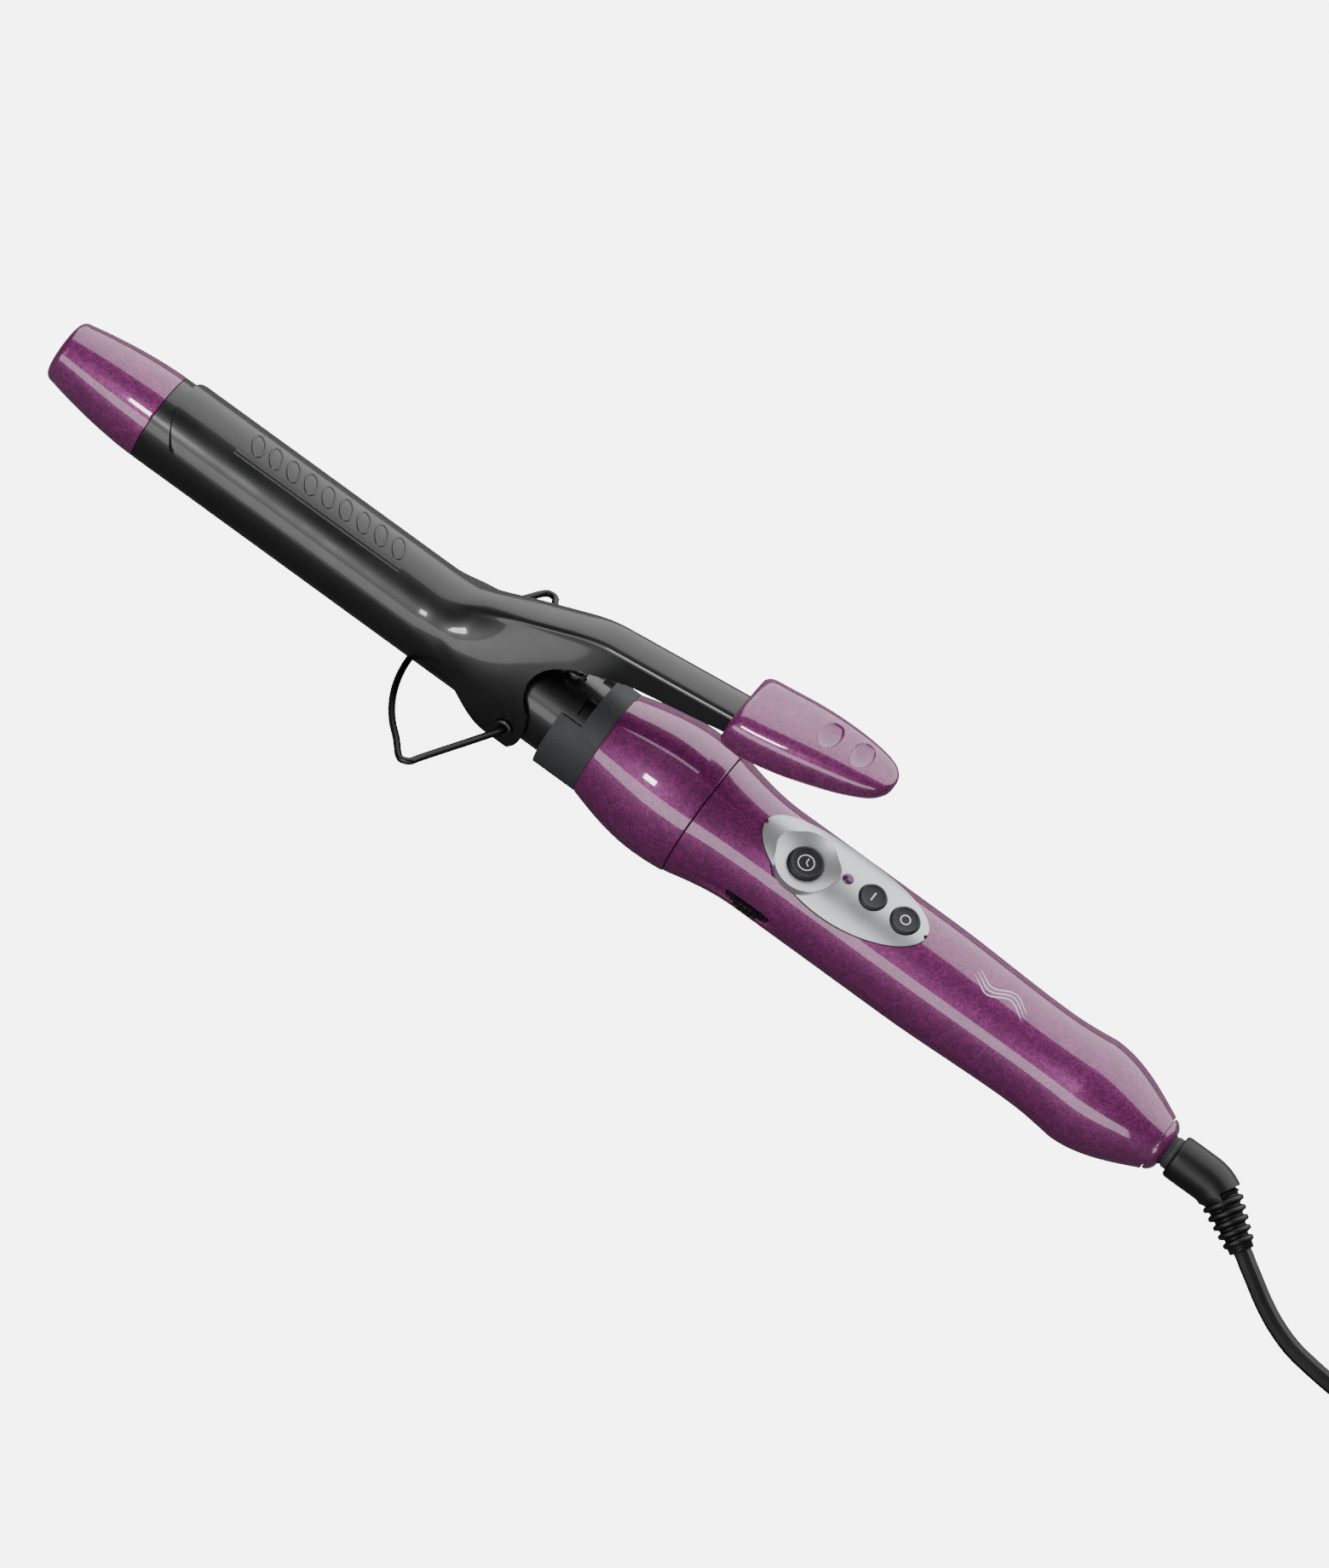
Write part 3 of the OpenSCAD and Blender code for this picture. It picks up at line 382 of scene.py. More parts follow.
# ---- Cool tip, nose and tail ring ----
# Moulded ABS covers in pearl lacquer: a purple base coat with fine flakes under clear gloss. The
# tip plugs into the barrel's end, the nose grips its root, and the ring closes the tail.
def spun(outline, segments=160, start=0.0, angle=360.0):
    """A bmesh turned about the barrel's axis from an outline of (x, radius) in mm."""
    bm = bmesh.new()
    turn = Matrix.Rotation(math.radians(start), 3, "X")
    axis_point = place(0, 0, 0)
    verts = [bm.verts.new(axis_point + turn @ Vector((x, 0, r)) * MM) for x, r in outline]
    edges = [bm.edges.new(pair) for pair in zip(verts, verts[1:])]
    bmesh.ops.spin(
        bm, geom=verts + edges, cent=axis_point, axis=(1, 0, 0), angle=math.radians(angle),
        steps=segments, use_merge=angle == 360.0)
    return bm


def pearl_lacquer(name):
    """Flakes turn the base coat lighter here and there; the clear coat mirrors the lamps sharply."""
    material = bpy.data.materials.new(name)
    material.use_nodes = True
    tree = material.node_tree
    shader = tree.nodes["Principled BSDF"]
    for key, value in {"Metallic": 0.45, "Roughness": 0.42, "Coat Weight": 1.0,
                       "Coat Roughness": 0.05, "Coat IOR": 1.6}.items():
        shader.inputs[key].default_value = value
    coords = add_node(tree, "ShaderNodeTexCoord")
    # Real flakes are 0.05 mm; these are 0.5 mm so that they show.
    flakes = add_node(tree, "ShaderNodeTexVoronoi", {}, {
        "Vector": coords.outputs["Object"], "Scale": 1000 / 0.5})
    clouds = add_node(tree, "ShaderNodeTexNoise", {}, {
        "Vector": coords.outputs["Object"], "Scale": 1000 / 3, "Detail": 4.0})
    parts = add_node(tree, "ShaderNodeSeparateColor", {}, {"Color": flakes.outputs["Color"]})
    both = add_node(tree, "ShaderNodeMath", {"operation": "MULTIPLY"}, {
        0: parts.outputs["Red"], 1: clouds.outputs["Fac"]})
    tint = add_node(tree, "ShaderNodeMix", {"data_type": "RGBA"}, {"Factor": both.outputs["Value"]})
    tint.inputs["A"].default_value = linear("540d48")
    tint.inputs["B"].default_value = linear("962a7c")
    tree.links.new(tint.outputs["Result"], shader.inputs["Base Color"])
    relief = add_node(tree, "ShaderNodeBump", {}, {
        "Height": parts.outputs["Green"], "Strength": 0.12, "Distance": 0.00005})
    tree.links.new(relief.outputs["Normal"], shader.inputs["Normal"])
    return material


pearl = pearl_lacquer("pearl_lacquer")
BARREL_R = 12.7
TIP_LEN, TIP_END_R, TIP_ROUND = 31.7, 8.4, 2.5
SIDE_END = 1 - TIP_ROUND / TIP_LEN


def tip_radius(t):
    return BARREL_R - (BARREL_R - TIP_END_R - 0.3) * t ** 1.8


tip_line = [
    (-TIP_LEN + 6, 0), (-TIP_LEN + 6, 7.4), (10, 7.4), (10, 9.4), (-0.1, 9.4), (-0.1, BARREL_R - 0.6),
    (-0.16, BARREL_R - 0.3), (-0.3, BARREL_R - 0.1), (-0.6, BARREL_R)
]
tip_line += [(-TIP_LEN * SIDE_END * i / 40, tip_radius(SIDE_END * i / 40)) for i in range(1, 41)]
for bend in range(6, 91, 6):
    a = math.radians(bend)
    tip_line.append((
        -TIP_LEN + TIP_ROUND * (1 - math.sin(a)), tip_radius(SIDE_END) - TIP_ROUND * (1 - math.cos(a))))
tip_line += [(-TIP_LEN, 3), (-TIP_LEN, 0)]
make_piece("cool_tip_cap", spun(tip_line), pearl, "root", "pearl_purple", "cool_tip")

NOSE_X, NOSE_LEN, BULGE_R, BULGE_AT, COLLAR_R, SEAM_R = 147.0, 31.6, 19.5, 22.0, 15.5, 18.7


def nose_radius(x):
    if x < BULGE_AT:
        return COLLAR_R + (BULGE_R - COLLAR_R) * math.sin(math.pi / 2 * x / BULGE_AT)
    return BULGE_R + (SEAM_R + 0.2 - BULGE_R) * ((x - BULGE_AT) / (NOSE_LEN - BULGE_AT)) ** 2


nose_line = [(NOSE_X + 13, 13.9), (NOSE_X, 13.9), (NOSE_X, COLLAR_R - 0.3), (NOSE_X + 0.1, COLLAR_R - 0.05)]
nose_line += [(NOSE_X + x, nose_radius(x)) for x in [0.5 + (NOSE_LEN - 1.0) * i / 60 for i in range(61)]]
seam_x = NOSE_X + NOSE_LEN
nose_line += [
    (seam_x - 0.28, SEAM_R + 0.16), (seam_x - 0.16, SEAM_R), (seam_x - 0.12, SEAM_R - 0.3),
    (seam_x - 0.12, 16.9), (seam_x - 6, 16.9), (seam_x - 14, 16.2), (NOSE_X + 13, 14.6), (NOSE_X + 13, 13.9)
]
make_piece("handle_nose_cover", spun(nose_line), pearl, "root", "pearl_purple", "handle_nose")

TAIL_X, TAIL_R, NECK_R = 326.3, 8.2, 4.7
ring_line = [
    (TAIL_X - 1.5, NECK_R + 0.05), (TAIL_X - 1.5, 6.8), (TAIL_X + 0.1, 6.8),
    (TAIL_X + 0.1, TAIL_R - 0.7), (TAIL_X + 0.2, TAIL_R - 0.45),
    (TAIL_X + 0.5, TAIL_R - 0.36), (TAIL_X + 1.1, TAIL_R - 0.55), (TAIL_X + 2.0, 6.9), (TAIL_X + 2.6, 6.1),
    (TAIL_X + 2.85, 5.5), (TAIL_X + 2.9, 5.1), (TAIL_X + 2.8, NECK_R + 0.05), (TAIL_X - 1.5, NECK_R + 0.05)
]
make_piece("tail_trim_ring", spun(ring_line, 96), pearl, "root", "pearl_purple", "tail_ring")


# ---- Handle shells ----
# Two half shells of the same lacquered ABS, screwed together from below. They part on a plane that
# is rolled towards the buttons, and are cut away for the panel and for the temperature wheel.
ROLL = 17.5
GRIP_X, GRIP_LEN, GRIP_R, WAIST_R, SWELL_R = 178.6, 147.7, 15.6, 14.5, 15.6
FAIR_LEN, WAIST_AT, SWELL_AT, SHELL_WALL = 21.0, 109.0, 123.4, 2.0
STRAIGHT_END = WAIST_AT - 40.6


def body_radius(x):
    """Radius of the handle's body, x mm behind the nose's seam."""
    if x < FAIR_LEN:
        return GRIP_R + (SEAM_R - GRIP_R) * (1 - math.sin(math.pi / 2 * x / FAIR_LEN))
    if x < STRAIGHT_END:
        return GRIP_R
    if x < WAIST_AT:
        t = (x - STRAIGHT_END) / (WAIST_AT - STRAIGHT_END)
        return GRIP_R + (WAIST_R - GRIP_R) * t * t * (3 - 2 * t)
    if x < SWELL_AT:
        t = (x - WAIST_AT) / (SWELL_AT - WAIST_AT)
        return WAIST_R + (SWELL_R - WAIST_R) * (1 - math.cos(math.pi / 2 * t))
    t = (x - SWELL_AT) / (GRIP_LEN - SWELL_AT)
    return TAIL_R + (SWELL_R - TAIL_R) * math.cos(math.pi / 2 * t)


def rolled(x, y, z):
    """A point of the handle's own rolled frame, in mm, in the part's frame."""
    turned = Matrix.Rotation(math.radians(ROLL), 3, "X") @ Vector((0, y, z))
    return place(x, turned.y, turned.z)


ROLLED_MATRIX = Matrix.Translation(place(0, 0, 0)) @ Matrix.Rotation(math.radians(ROLL), 4, "X")


def carve(piece, cutter_bm, operation="DIFFERENCE"):
    """Cuts, joins or trims a piece with a closed bmesh given in metres, which is used up."""
    bmesh.ops.recalc_face_normals(cutter_bm, faces=cutter_bm.faces[:])
    mesh = bpy.data.meshes.new("cutter")
    cutter_bm.to_mesh(mesh)
    cutter_bm.free()
    cutter = bpy.data.objects.new("cutter", mesh)
    bpy.context.scene.collection.objects.link(cutter)
    change = piece.modifiers.new("carve", "BOOLEAN")
    change.operation = operation
    change.solver = "EXACT"
    change.object = cutter
    bpy.context.view_layer.update()
    shown = piece.evaluated_get(bpy.context.evaluated_depsgraph_get())
    bm = bmesh.new()
    bm.from_mesh(shown.to_mesh())
    shown.to_mesh_clear()
    piece.modifiers.clear()
    bmesh.ops.remove_doubles(bm, verts=bm.verts[:], dist=1e-6)
    bm.to_mesh(piece.data)
    bm.free()
    piece.data.shade_smooth()
    piece.data.set_sharp_from_angle(angle=math.radians(35))
    bpy.data.objects.remove(cutter)
    bpy.data.meshes.remove(mesh)


def rolled_cylinder(x, y, r, z0, z1, segments=96):
    """A cylinder square to the panel, in the handle's rolled frame."""
    bm = bmesh.new()
    bmesh.ops.create_cone(
        bm, cap_ends=True, segments=segments, radius1=r * MM, radius2=r * MM, depth=(z1 - z0) * MM)
    bmesh.ops.translate(bm, vec=Vector((x, y, (z0 + z1) / 2)) * MM, verts=bm.verts[:])
    bmesh.ops.transform(bm, matrix=ROLLED_MATRIX, verts=bm.verts[:])
    return bm


def half_shell(name, half, node):
    """Half of the handle's body, as one closed wall with softened rims."""
    count = 150
    stations = [0.1 + (GRIP_LEN - 0.2) * i / count for i in range(count + 1)]
    line = [
        (GRIP_X + 0.1, SEAM_R - SHELL_WALL), (GRIP_X + 0.1, SEAM_R - 0.35), (GRIP_X + 0.14, SEAM_R - 0.12)]
    line += [(GRIP_X + x, body_radius(x)) for x in stations[1:]]
    line += [(GRIP_X + x, max(body_radius(x) - SHELL_WALL, 7.0)) for x in stations[::-5]]
    line[-1] = line[0]
    slit = 0.22
    bm = spun(line, 90, ROLL + slit - (90 if half > 0 else -90), 180 - 2 * slit)
    bmesh.ops.remove_doubles(bm, verts=bm.verts[:], dist=1e-6)
    bmesh.ops.holes_fill(bm, edges=[e for e in bm.edges if e.is_boundary], sides=0)
    return make_piece(name, bm, pearl, "root", "pearl_purple", node)


upper_shell = half_shell("handle_upper_casing", 1, "handle_upper_shell")
lower_shell = half_shell("handle_lower_casing", -1, "handle_lower_shell")

PANEL_X, PANEL_Y, PANEL_A, PANEL_B = 220.0, 0.5, 26.0, 11.2
WHEEL_X, WHEEL_IN, WHEEL_R, WHEEL_T = 202.6, 7.0, 9.8, 3.0
WHEEL_ROOM_R, WHEEL_HALF_SLOT, SCREW_BORE_R = 0.5, WHEEL_T / 2 + 0.4, 2.8


def wheel_scoop():
    """The long shallow scoop round the wheel's slot: a thick arc swept in the shells' parting plane."""
    scoop_r, sweep = 4.0, 60.0
    line = []
    for i in range(49):
        a = math.radians(65 + 50 * i / 48)
        line.append(rolled(
            WHEEL_X + sweep * math.cos(a), -GRIP_R + 1.2 - sweep - scoop_r + sweep * math.sin(a), 0))
    return round_bar(line, scoop_r * MM, 12)


for shell in (upper_shell, lower_shell):
    carve(shell, rolled_cylinder(
        WHEEL_X, -WHEEL_IN, WHEEL_R + WHEEL_ROOM_R, -WHEEL_HALF_SLOT, WHEEL_HALF_SLOT))
    carve(shell, wheel_scoop())
SCREWS_X = (GRIP_X + 6.4, GRIP_X + 77.4, GRIP_X + 117.4)
for x in SCREWS_X:
    carve(lower_shell, rolled_cylinder(x, 0, SCREW_BORE_R, -30, -9, 48))

# Panhead screws of zinc-plated steel hold the shells from below, each at the foot of a bore.
zinc = new_material("zinc_plated_steel", "b9bcc2", 0.3, 0.4, 0.1, "a8abb0", Metallic=1.0)  # pale, bluish
screws = make_piece("shell_screws", from_node("handle_screws"), zinc, "root", "aluminium", "handle_screws")
for x in SCREWS_X:
    for wide, deep in ((3.6, 0.7), (0.7, 3.6)):
        slot_bm = bmesh.new()
        bmesh.ops.create_cube(slot_bm, size=MM)
        bmesh.ops.scale(slot_bm, vec=(wide, deep, 2.4), verts=slot_bm.verts[:])
        bmesh.ops.translate(slot_bm, vec=Vector((x, 0, -11)) * MM, verts=slot_bm.verts[:])
        bmesh.ops.transform(slot_bm, matrix=ROLLED_MATRIX, verts=slot_bm.verts[:])
        carve(screws, slot_bm)


# ---- Printed motif ----
# A plain wavy lock of hair, pad-printed on the upper shell in pale silver ink.
ink = new_material("pad_printing_ink", "d9d6dc", 0.45, 0.3, 0.05, "cfccd2")  # pale, slightly grainy
STRAND_R = 0.32


def on_body(x, y, proud):
    """A point on the handle's surface at the rolled frame's x and y, raised by proud mm."""
    r = body_radius(x - GRIP_X) + proud
    return rolled(x, y, math.sqrt(max(r * r - y * y, 0)))


for strand in range(3):
    line, radii = [], []
    for i in range(121):
        t = i / 120
        wave = (1.1 + 0.5 * t) * math.sin(4 * math.pi * t)
        line.append(on_body(258 + 25 * t, 0.5 + 1.25 * (strand - 1) + wave, -0.24))
        radii.append(0.35 + 0.65 * math.sin(math.pi * t) ** 0.6)
    make_piece(
        f"printed_lock_strand_{strand + 1}", round_bar(line, STRAND_R * MM, 3, radii),
        ink, "root", "white_plastic")


# ---- Button panel ----
# A shallow oval plate of ABS with satin silver paint, curved to the handle and set into the upper
# shell. It carries a round dish for the timer button, two plain holes and the lamp's hole.
silver = new_material(
    "satin_silver_paint", "a9abae", 0.4, 0.35, 0.12, "c2c4c6", Metallic=0.8,
    Coat_Weight=0.35, Coat_Roughness=0.2)  # metal flake in lacquer: bright, soft reflections
TIMER_X, ON_X, OFF_X, LENS_X = PANEL_X - 11, PANEL_X + 8.5, PANEL_X + 18.9, PANEL_X + 0.4
TIMER_Y, UPPER_Y = -1.8, 0.9
TIMER_R, ON_R, OFF_R, LENS_R, BUTTON_GAP, SHELL_HOLE_ROOM = 4.85, 3.85, 4.1, 1.6, 0.15, 0.25
DISH_R, DISH_SPHERE_R, DISH_SPHERE_Z, DISH_BOSS_R, DISH_FLOOR = 8.75, 18.2, 31.4, 9.4, 12.2
PANEL_PROUD, PANEL_T = 0.35, 1.1


def panel_oval(extra, z0, z1):
    """The panel's outline as a solid oval, grown by extra mm."""
    oval = rolled_cylinder(0, 0, PANEL_B + extra, z0, z1, 160)
    stretch = (PANEL_A + extra) / (PANEL_B + extra)
    bmesh.ops.transform(oval, matrix=ROLLED_MATRIX.inverted(), verts=oval.verts[:])
    bmesh.ops.scale(oval, vec=(stretch, 1, 1), verts=oval.verts[:])
    bmesh.ops.translate(oval, vec=Vector((PANEL_X, PANEL_Y, 0)) * MM, verts=oval.verts[:])
    bmesh.ops.transform(oval, matrix=ROLLED_MATRIX, verts=oval.verts[:])
    return oval


def body_arc(outer, inner):
    """A curved plate over the top of the handle between two offsets from its surface."""
    xs = [PANEL_X - PANEL_A - 3 + (2 * PANEL_A + 6) * i / 70 for i in range(71)]
    line = [(x, body_radius(x - GRIP_X) + outer) for x in xs]
    line += [(x, body_radius(x - GRIP_X) + inner) for x in xs[::-1]]
    bm = spun(line + line[:1], 90, ROLL - 62, 124)
    bmesh.ops.remove_doubles(bm, verts=bm.verts[:], dist=1e-6)
    bmesh.ops.holes_fill(bm, edges=[e for e in bm.edges if e.is_boundary], sides=0)
    return bm


pocket = make_piece("pocket", body_arc(3, -PANEL_T), pearl, None, None)
carve(pocket, panel_oval(0.18, 2, 30), "INTERSECT")
pocket_bm = bmesh.new()
pocket_bm.from_mesh(pocket.data)
bpy.data.objects.remove(pocket)
carve(upper_shell, pocket_bm)
carve(upper_shell, rolled_cylinder(TIMER_X, TIMER_Y, DISH_BOSS_R + 0.1, DISH_FLOOR, 30))
for x, y, r in (
        (ON_X, UPPER_Y, ON_R), (OFF_X, UPPER_Y, OFF_R),
        (LENS_X, UPPER_Y, LENS_R), (TIMER_X, TIMER_Y, TIMER_R)):
    carve(upper_shell, rolled_cylinder(x, y, r + SHELL_HOLE_ROOM, 5, 30))

panel = make_piece(
    "button_panel_plate", body_arc(PANEL_PROUD, -PANEL_T), silver, "root", "silver_panel", "button_panel")
carve(panel, panel_oval(0, 2, 30), "INTERSECT")
boss = rolled_cylinder(TIMER_X, TIMER_Y, DISH_R, DISH_FLOOR, 15.4)
carve(panel, boss, "UNION")
dish = bmesh.new()
bmesh.ops.create_uvsphere(dish, u_segments=128, v_segments=64, radius=DISH_SPHERE_R * MM)
bmesh.ops.translate(dish, vec=Vector((TIMER_X, TIMER_Y, DISH_SPHERE_Z)) * MM, verts=dish.verts[:])
bmesh.ops.transform(dish, matrix=ROLLED_MATRIX, verts=dish.verts[:])
carve(panel, dish)
for x, y, r in (
        (ON_X, UPPER_Y, ON_R + BUTTON_GAP), (OFF_X, UPPER_Y, OFF_R + BUTTON_GAP),
        (LENS_X, UPPER_Y, LENS_R), (TIMER_X, TIMER_Y, TIMER_R + BUTTON_GAP)):
    carve(panel, rolled_cylinder(x, y, r, 5, 30))
for side in (-1, 1):
    notch = rolled_cylinder(PANEL_X + side * PANEL_A, PANEL_Y, 0.75, 5, 30, 24)
    carve(panel, notch)
bevelled(panel, 0.22, 2, 40)


# ---- Buttons and lamp ----
# Three soft-touch buttons of dark grey rubber, each with a raised rim and a printed sign: a clock
# for the timer, a bar for on, a ring for off. A small purple lens covers the lamp.
rubber = new_material(
    "soft_touch_rubber", "101113", 0.5, 0.25, 0.2, "1a1b1d", Specular_IOR_Level=0.4)  # dark, waxy
FLOOR_Z = 12.35
TIMER_TOP, KEY_TOP, SIGN_DEPTH = GRIP_R - 0.7, GRIP_R + 0.9, 0.33


def upright_spin(x, y, outline, segments=72):
    """A bmesh turned about an axis square to the panel from an outline of (radius, height) in mm."""
    bm = bmesh.new()
    verts = [bm.verts.new(Vector((x + r, y, z)) * MM) for r, z in outline]
    edges = [bm.edges.new(pair) for pair in zip(verts, verts[1:])]
    bmesh.ops.spin(bm, geom=verts + edges, cent=Vector((x, y, 0)) * MM, axis=(0, 0, 1),
                   angle=2 * math.pi, steps=segments, use_merge=True)
    bmesh.ops.transform(bm, matrix=ROLLED_MATRIX, verts=bm.verts[:])
    return bm


def sign(name, x, y, z, line, body, width=0.2):
    """A printed sign on a button: a line of points round the button's middle, in mm."""
    points = [rolled(x + px, y + py, z) for px, py in line]
    return make_piece(name, round_bar(points, width * MM, 2), ink, body, "white_plastic")


def circle_line(r):
    """Points round a circle, in mm, with the last on the first."""
    angles = [math.radians(360 * i / 40) for i in range(41)]
    return [(r * math.cos(a), r * math.sin(a)) for a in angles]


for name, x, y, r, top in (
        ("timer", TIMER_X, TIMER_Y, TIMER_R, TIMER_TOP), ("on", ON_X, UPPER_Y, ON_R, KEY_TOP),
        ("off", OFF_X, UPPER_Y, OFF_R, KEY_TOP)):
    outline = (
        (0, FLOOR_Z), (r, FLOOR_Z), (r, top - 0.75), (r - 0.06, top - 0.45), (r - 0.2, top - 0.2),
        (r - 0.4, top - 0.05), (r - 0.62, top), (r - 0.85, top - 0.04), (r - 1.05, top - 0.16),
        (r - 1.3, top - 0.22), (r * 0.35, top - 0.25), (0, top - 0.26)
    )
    make_piece(
        f"{name}_button_cap", upright_spin(x, y, outline), rubber, f"{name}_key", "button_grey",
        f"{name}_button", sharp=50)
sign("timer_sign_face", TIMER_X, TIMER_Y, TIMER_TOP - SIGN_DEPTH, circle_line(2.2), "timer_key")
sign(
    "timer_sign_hands", TIMER_X, TIMER_Y, TIMER_TOP - SIGN_DEPTH, [(0, 1.4), (0, 0), (1.0, -0.6)],
    "timer_key")
sign("on_sign", ON_X, UPPER_Y, KEY_TOP - SIGN_DEPTH, [(0, -1.3), (0, 1.3)], "on_key", 0.24)
sign("off_sign", OFF_X, UPPER_Y, KEY_TOP - SIGN_DEPTH, circle_line(1.3), "off_key", 0.22)
lens_outline = (
    (0, 12), (LENS_R - 0.05, 12), (LENS_R - 0.05, GRIP_R + 0.4), (LENS_R - 0.2, GRIP_R + 0.6),
    (LENS_R - 0.6, GRIP_R + 0.75), (0, GRIP_R + 0.8)
)
lens_plastic = new_material(
    "dyed_polycarbonate", "5c1f5a", 0.12, 0.5, 0.02, "6b2a69",
    Transmission_Weight=0.35, IOR=1.58)  # a dark jewel
make_piece(
    "lamp_lens", upright_spin(LENS_X, UPPER_Y, lens_outline, 48), lens_plastic, "root", "lens_purple",
    "indicator_lens")


# ---- Temperature wheel ----
# A knurled thumbwheel of black ABS on the potentiometer's spindle. Its rim shows in the scoop.
black_abs = new_material("moulded_black_ABS", "08080a", 0.4, 0.4, 0.15, "101012")  # plain semi-gloss
TEETH, TOOTH_DEPTH = 36, 0.6


def thicken(bm, faces, way):
    """Extrudes the faces and moves their copies that way, in metres."""
    moved = bmesh.ops.extrude_face_region(bm, geom=faces)["geom"]
    bmesh.ops.translate(bm, vec=way, verts=[g for g in moved if isinstance(g, bmesh.types.BMVert)])


wheel_bm = bmesh.new()
disc = bmesh.ops.create_circle(wheel_bm, cap_ends=True, segments=TEETH * 8, radius=WHEEL_R * MM)["verts"]
for v in disc:
    a = math.atan2(v.co.y, v.co.x)
    v.co *= 1 - TOOTH_DEPTH / 2 * (1 - math.cos(TEETH * a)) / WHEEL_R
thicken(wheel_bm, wheel_bm.faces[:], (0, 0, WHEEL_T * MM))
bmesh.ops.translate(
    wheel_bm, vec=Vector((WHEEL_X, -WHEEL_IN, -WHEEL_T / 2)) * MM, verts=wheel_bm.verts[:])
bmesh.ops.transform(wheel_bm, matrix=ROLLED_MATRIX, verts=wheel_bm.verts[:])
wheel = make_piece("knurled_wheel", wheel_bm, black_abs, "wheel", "black_plastic", "temperature_wheel")
carve(wheel, rolled_cylinder(WHEEL_X, -WHEEL_IN, 1.5, -5, 5, 32))
bevelled(wheel, 0.2, 2, 60)


# ---- Heated barrel and its inside ----
# The barrel is an aluminium tube with a baked black ceramic coating. Inside are a ceramic heater
# in film between two half-round pads, a thermal fuse and the silicone leads.
coating = new_material(
    "baked_ceramic_coating", "050506", 0.36, 0.35, 0.12, "0a0a0b", Specular_IOR_Level=0.42,
    Coat_Weight=0.4, Coat_Roughness=0.08)  # near black, with a thin clear gleam


def finish_node(material, *nodes):
    """Gives CAD nodes that stay as they are a material."""
    for node in nodes:
        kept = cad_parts[node]
        if kept.material_slots:
            for held in kept.material_slots:
                held.material = material
        else:
            kept.data.materials.append(material)


finish_node(coating, "barrel_tube")
finish_node(
    new_material("phenolic_moulding", "33261e", 0.55, 0.5, 0.2, "3d2e25"), "tip_bush", "barrel_holder")
finish_node(new_material("fired_alumina", "e8e2d4", 0.7, 0.3, 0.2, "ddd6c6"), "heater_core")
finish_node(new_material("amber_polyimide_film", "a8742a", 0.25, 0.6, 0.05, "b88436"), "insulation_sheets")
finish_node(
    new_material("cast_aluminium", "c6c8cb", 0.4, 0.5, 0.2, "b4b6ba", Metallic=1.0),
    "heater_pads", "thermal_fuse")
finish_node(new_material("silicone_sleeve_red", "a3342a", 0.55, 0.4, 0.1, "8f2c24"), "heater_leads")


# ---- Neck collar ----
# A heat-proof ring of glass-filled nylon between the barrel and the handle, cut back on top for
# the clamp. The mould's spark-eroded surface leaves a matt, sandy grain.
grained_nylon = new_material(
    "glass_filled_nylon", "161719", 0.6, 0.45, 0.9, "3a3b3e", Specular_IOR_Level=0.35)
bevelled(make_piece(
    "neck_collar_ring", from_node("neck_collar"), grained_nylon, "root", "collar_grey",
    "neck_collar"), 0.35, 3)
bevelled(make_piece(
    "spring_saddle_plate", from_node("spring_saddle"), coating, "root", "coated_clamp",
    "spring_saddle"), 0.15)


# ---- Clamp ----
# One piece of pressed steel, 0.9 mm thick, black-coated: a spoon that wraps the barrel, two ears
# for the hinge and a channelled lever. Nine raised loops and a double line are pressed into its top.
SPOON_R, SHEET, WRAP, SPOON_START = 13.5, 0.9, math.radians(70), 3.4
BARREL_LEN = 133.7
HINGE_X, HINGE_Z, KINK_X, CREST_X, REST_X = 123.0, -3.8, 91.5, 130.8, 172.8
EAR_Y, EAR_R, LEVER_W, FLANGE, RUN = BARREL_R + 1.25, 5.5, 11.5, 6.0, 42.0
LEVER_END = REST_X + 17
RISE_SLOPE, LEVER_SLOPE = (21.6 - 0.35 - SHEET) / (CREST_X - KINK_X), 0.164


def eased(t):
    """0 to 1 with a soft start and a soft end."""
    t = min(1, max(0, t))
    return t * t * (3 - 2 * t)


def mix(a, b, t):
    return a + (b - a) * t


def ramp(x, soft):
    """0 before 0 and x after it, rounded over soft on each side."""
    if x < -soft:
        return 0
    return x if x > soft else (x + soft) ** 2 / (4 * soft)


def lever_top(x):
    """Height of the sheet's middle over the barrel's axis."""
    return SPOON_R + RISE_SLOPE * ramp(x - KINK_X, 5) - (RISE_SLOPE - LEVER_SLOPE) * ramp(x - CREST_X, 5)


def ridge(t, top, edge_y, edge_z, straight):
    """Half of the lever's section: a round shoulder, then a side that runs down to its edge."""
    half, shoulder = LEVER_W / 2 - SHEET / 2, 0.35
    if t < shoulder:
        a = math.pi / 2 * t / shoulder
        return half * math.sin(a), top - 1.8 * (1 - math.cos(a))
    v = (t - shoulder) / (1 - shoulder)
    return mix(half, edge_y, math.sin(math.pi / 2 * min(1, v / straight))), mix(top - 1.8, edge_z, v)


